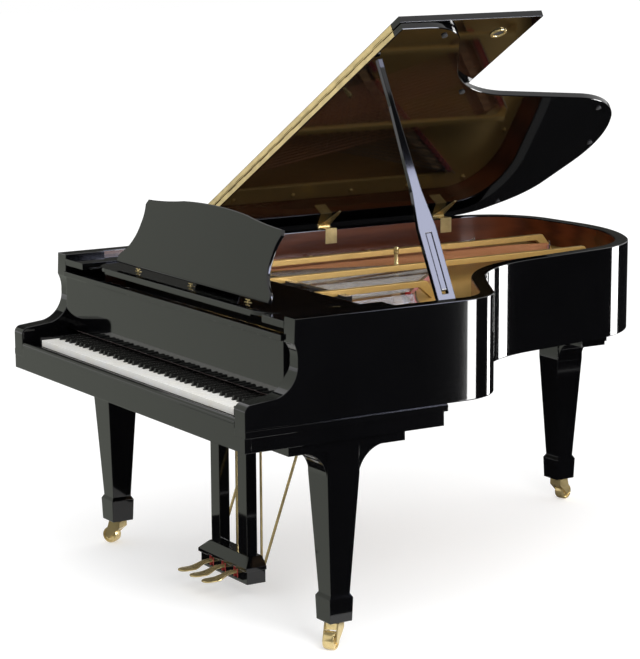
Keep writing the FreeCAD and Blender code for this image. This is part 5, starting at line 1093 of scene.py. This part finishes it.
class PIANO_OT_stage(bpy.types.Operator):
    """Pale floor, soft light, screens for the mirrors and the camera."""

    bl_idname = "piano.stage"
    bl_label = "Stage"

    def execute(self, context):
        self.floor()
        self.world()
        self.lamps()
        self.screens()
        self.camera()
        context.scene.view_settings.view_transform = "Standard"
        return {"FINISHED"}

    def sheet(self, name, corners, material):
        """Flat four-cornered stage piece."""
        mesh = bpy.data.meshes.new(name)
        mesh.from_pydata((np.array(corners, float) - CENTRE).tolist(), [], [[0, 1, 2, 3]])
        mesh.materials.append(material)
        obj = bpy.data.objects.new(name, mesh)
        bpy.context.scene.collection.objects.link(obj)
        return obj

    def floor(self):
        """Large pale floor that the camera and mirrors see a little lighter than it is lit."""
        look = Look("floor_white")
        look.surface(Base_Color=(0.72, 0.72, 0.72, 1), Roughness=0.9, Specular_IOR_Level=0.0,
                     Emission_Color=(1, 1, 1, 1))
        rays = look.node("LightPath").outputs
        seen = look.arithmetic("ADD", rays["Is Camera Ray"], rays["Is Glossy Ray"])
        seen = look.arithmetic("ADD", seen, rays["Is Transmission Ray"])
        look.surface(Emission_Strength=look.arithmetic("MULTIPLY", seen, FLOOR_GLOW))
        reach = (-FLOOR_HALF, FLOOR_HALF)
        self.sheet("floor", floor_corners(reach, reach, 0), look.material)

    def world(self):
        """Even white surroundings."""
        world = bpy.data.worlds.new("surroundings")
        bpy.context.scene.world = world
        world.use_nodes = True
        back = world.node_tree.nodes["Background"]
        back.inputs["Color"].default_value = (1, 1, 1, 1)
        back.inputs["Strength"].default_value = 1.0

    def lamp(self, name, place, aim, width, height, radiance, tint=(1, 1, 1)):
        """Rectangular lamp of an even radiance, aimed at a point."""
        data = bpy.data.lights.new(name, "AREA")
        data.shape = "RECTANGLE"
        data.size = width
        data.size_y = height
        data.energy = radiance * math.pi * width * height
        data.color = tint
        obj = bpy.data.objects.new(name, data)
        obj.location = Vector(place) - Vector(CENTRE)
        obj.rotation_euler = (Vector(aim) - Vector(place)).to_track_quat("-Z", "Y").to_euler()
        obj.visible_camera = False
        bpy.context.scene.collection.objects.link(obj)
        return obj

    def lamps(self):
        """A soft lamp over the keys, one into the open side, and strips that only mirrors see."""
        over = self.lamp("soft_lamp", (1.5, -1.5, 4.5), (0, 0.8, 0.7), 3.0, 3.0, 1.6)
        over.visible_glossy = False
        self.lamp("inside_lamp", (3.4, 0.1, 2.3), (0.0, 1.0, 0.9), 1.6, 1.6, 9.0)
        low = self.lamp("strip_low", (2.3, 2.43, 0.7), (0.0, 2.43, 0.7), 1.14, 1.4, 22.0)
        high = self.lamp("strip_high", (2.3, 2.4, 2.13), (0.0, 2.4, 2.13), 1.4, 1.26, 12.0, LAVENDER)
        tail = self.lamp("strip_tail", (0.35, 4.0, 0.7), (0.35, 0.0, 0.7), 0.6, 1.4, 18.0)
        for strip in (low, high, tail):
            strip.visible_diffuse = False

    def screens(self):
        """Dark and grey sheets that only mirrors see, beside, before and behind the piano."""
        tall = (SHEET_LOW, SHEET_HIGH)
        over = (STRIP_TOP, SHEET_HIGH)
        sheets = {
            "screen_near": (BLACK, wall_corners(SHEET_SIDE, (-SHEET_FAR, STRIP_START), tall)),
            "screen_far": (BLACK, wall_corners(SHEET_SIDE, (STRIP_END, SHEET_FAR), tall)),
            "screen_over": (BLACK, wall_corners(SHEET_SIDE, (STRIP_START, STRIP_END), over)),
            "floor_beside": (BLACK, floor_corners((0.95, SHEET_SIDE), (-SHEET_FAR, SHEET_FAR), SHEET_LOW)),
            "floor_corner": (BLACK, floor_corners((0.63, 0.94), (-SHEET_FAR, -0.5), SHEET_LOW)),
            "floor_under": (BLACK, floor_corners((-0.25, 0.94), (0.55, SHEET_FAR), SHEET_LOW)),
            "floor_pedals": (BLACK, floor_corners((-0.8, -0.05), (-0.12, 0.25), SHEET_NEAR)),
            "floor_before": (PALE, floor_corners((-8, 0.62), (-9, 0.26), SHEET_LOW)),
            "floor_behind": (BLACK, floor_corners((-6, -0.26), (0.6, SHEET_FAR), SHEET_LOW)),
            "screen_left": (PALE, wall_corners(-6, (-8, -0.8), (1.2, 5.5))),
            "screen_back": (DARK, wall_corners(-3.2, (-0.5, 6.5), (0.6, 2.7))),
        }
        for name, (tone, corners) in sheets.items():
            look = Look(name)
            look.surface(Base_Color=(0, 0, 0, 1), Specular_IOR_Level=0.0, Emission_Color=tone,
                         Emission_Strength=1.0)
            obj = self.sheet(name, corners, look.material)
            obj.visible_camera = False
            obj.visible_diffuse = False
            obj.visible_shadow = False
            obj.visible_transmission = False

    def camera(self):
        """Camera at the main viewpoint."""
        view = bpy.context.scene.piano_view
        tilt = Matrix.Rotation(math.pi / 2 - view.elevation, 4, "X")
        turn = Matrix.Rotation(view.azimuth, 4, "Z") @ tilt @ Matrix.Rotation(view.roll, 4, "Z")
        back = Matrix.Translation((0, 0, view.distance))
        data = bpy.data.cameras.new("camera")
        data.sensor_width = SENSOR
        data.lens = view.lens
        data.shift_x = view.shift_x
        data.shift_y = view.shift_y
        data.clip_end = 100.0
        obj = bpy.data.objects.new("camera", data)
        obj.matrix_world = Matrix.Translation(Vector(AIM) - Vector(CENTRE)) @ turn @ back
        bpy.context.scene.collection.objects.link(obj)
        bpy.context.scene.camera = obj


class PIANO_PT_panel(bpy.types.Panel):
    """Sidebar list of the piano's steps and values."""

    bl_idname = "PIANO_PT_panel"
    bl_label = "Grand piano"
    bl_space_type = "VIEW_3D"
    bl_region_type = "UI"
    bl_category = "Piano"

    def draw(self, context):
        for operator in OPERATORS:
            self.layout.operator(operator.bl_idname)
        for group in (context.scene.piano_sizes, context.scene.piano_colours, context.scene.piano_view):
            for name in group.bl_rna.properties.keys():
                if name not in ("rna_type", "name"):
                    self.layout.prop(group, name)


OPERATORS = (
    PIANO_OT_finish_frame,
    PIANO_OT_rim,
    PIANO_OT_lid,
    PIANO_OT_music_stand,
    PIANO_OT_strings,
    PIANO_OT_plate_trim,
    PIANO_OT_pedals,
    PIANO_OT_rear_leg,
    PIANO_OT_casters,
    PIANO_OT_key_felt,
    PIANO_OT_stage,
)
GROUPS = {"piano_sizes": PianoSizes, "piano_colours": PianoColours, "piano_view": PianoView}


def register():
    """Register the classes and hang the property groups on the scene."""
    for group in GROUPS.values():
        bpy.utils.register_class(group)
    for name, group in GROUPS.items():
        setattr(bpy.types.Scene, name, bpy.props.PointerProperty(type=group))
    for operator in OPERATORS:
        bpy.utils.register_class(operator)
    bpy.utils.register_class(PIANO_PT_panel)


def unregister():
    """Undo register."""
    bpy.utils.unregister_class(PIANO_PT_panel)
    for operator in reversed(OPERATORS):
        bpy.utils.unregister_class(operator)
    for name in GROUPS:
        delattr(bpy.types.Scene, name)
    for group in reversed(list(GROUPS.values())):
        bpy.utils.unregister_class(group)


def main():
    """Build every piece in order."""
    register()
    for operator in OPERATORS:
        group, name = operator.bl_idname.split(".")
        getattr(getattr(bpy.ops, group), name)()


if __name__ == "__main__":
    main()
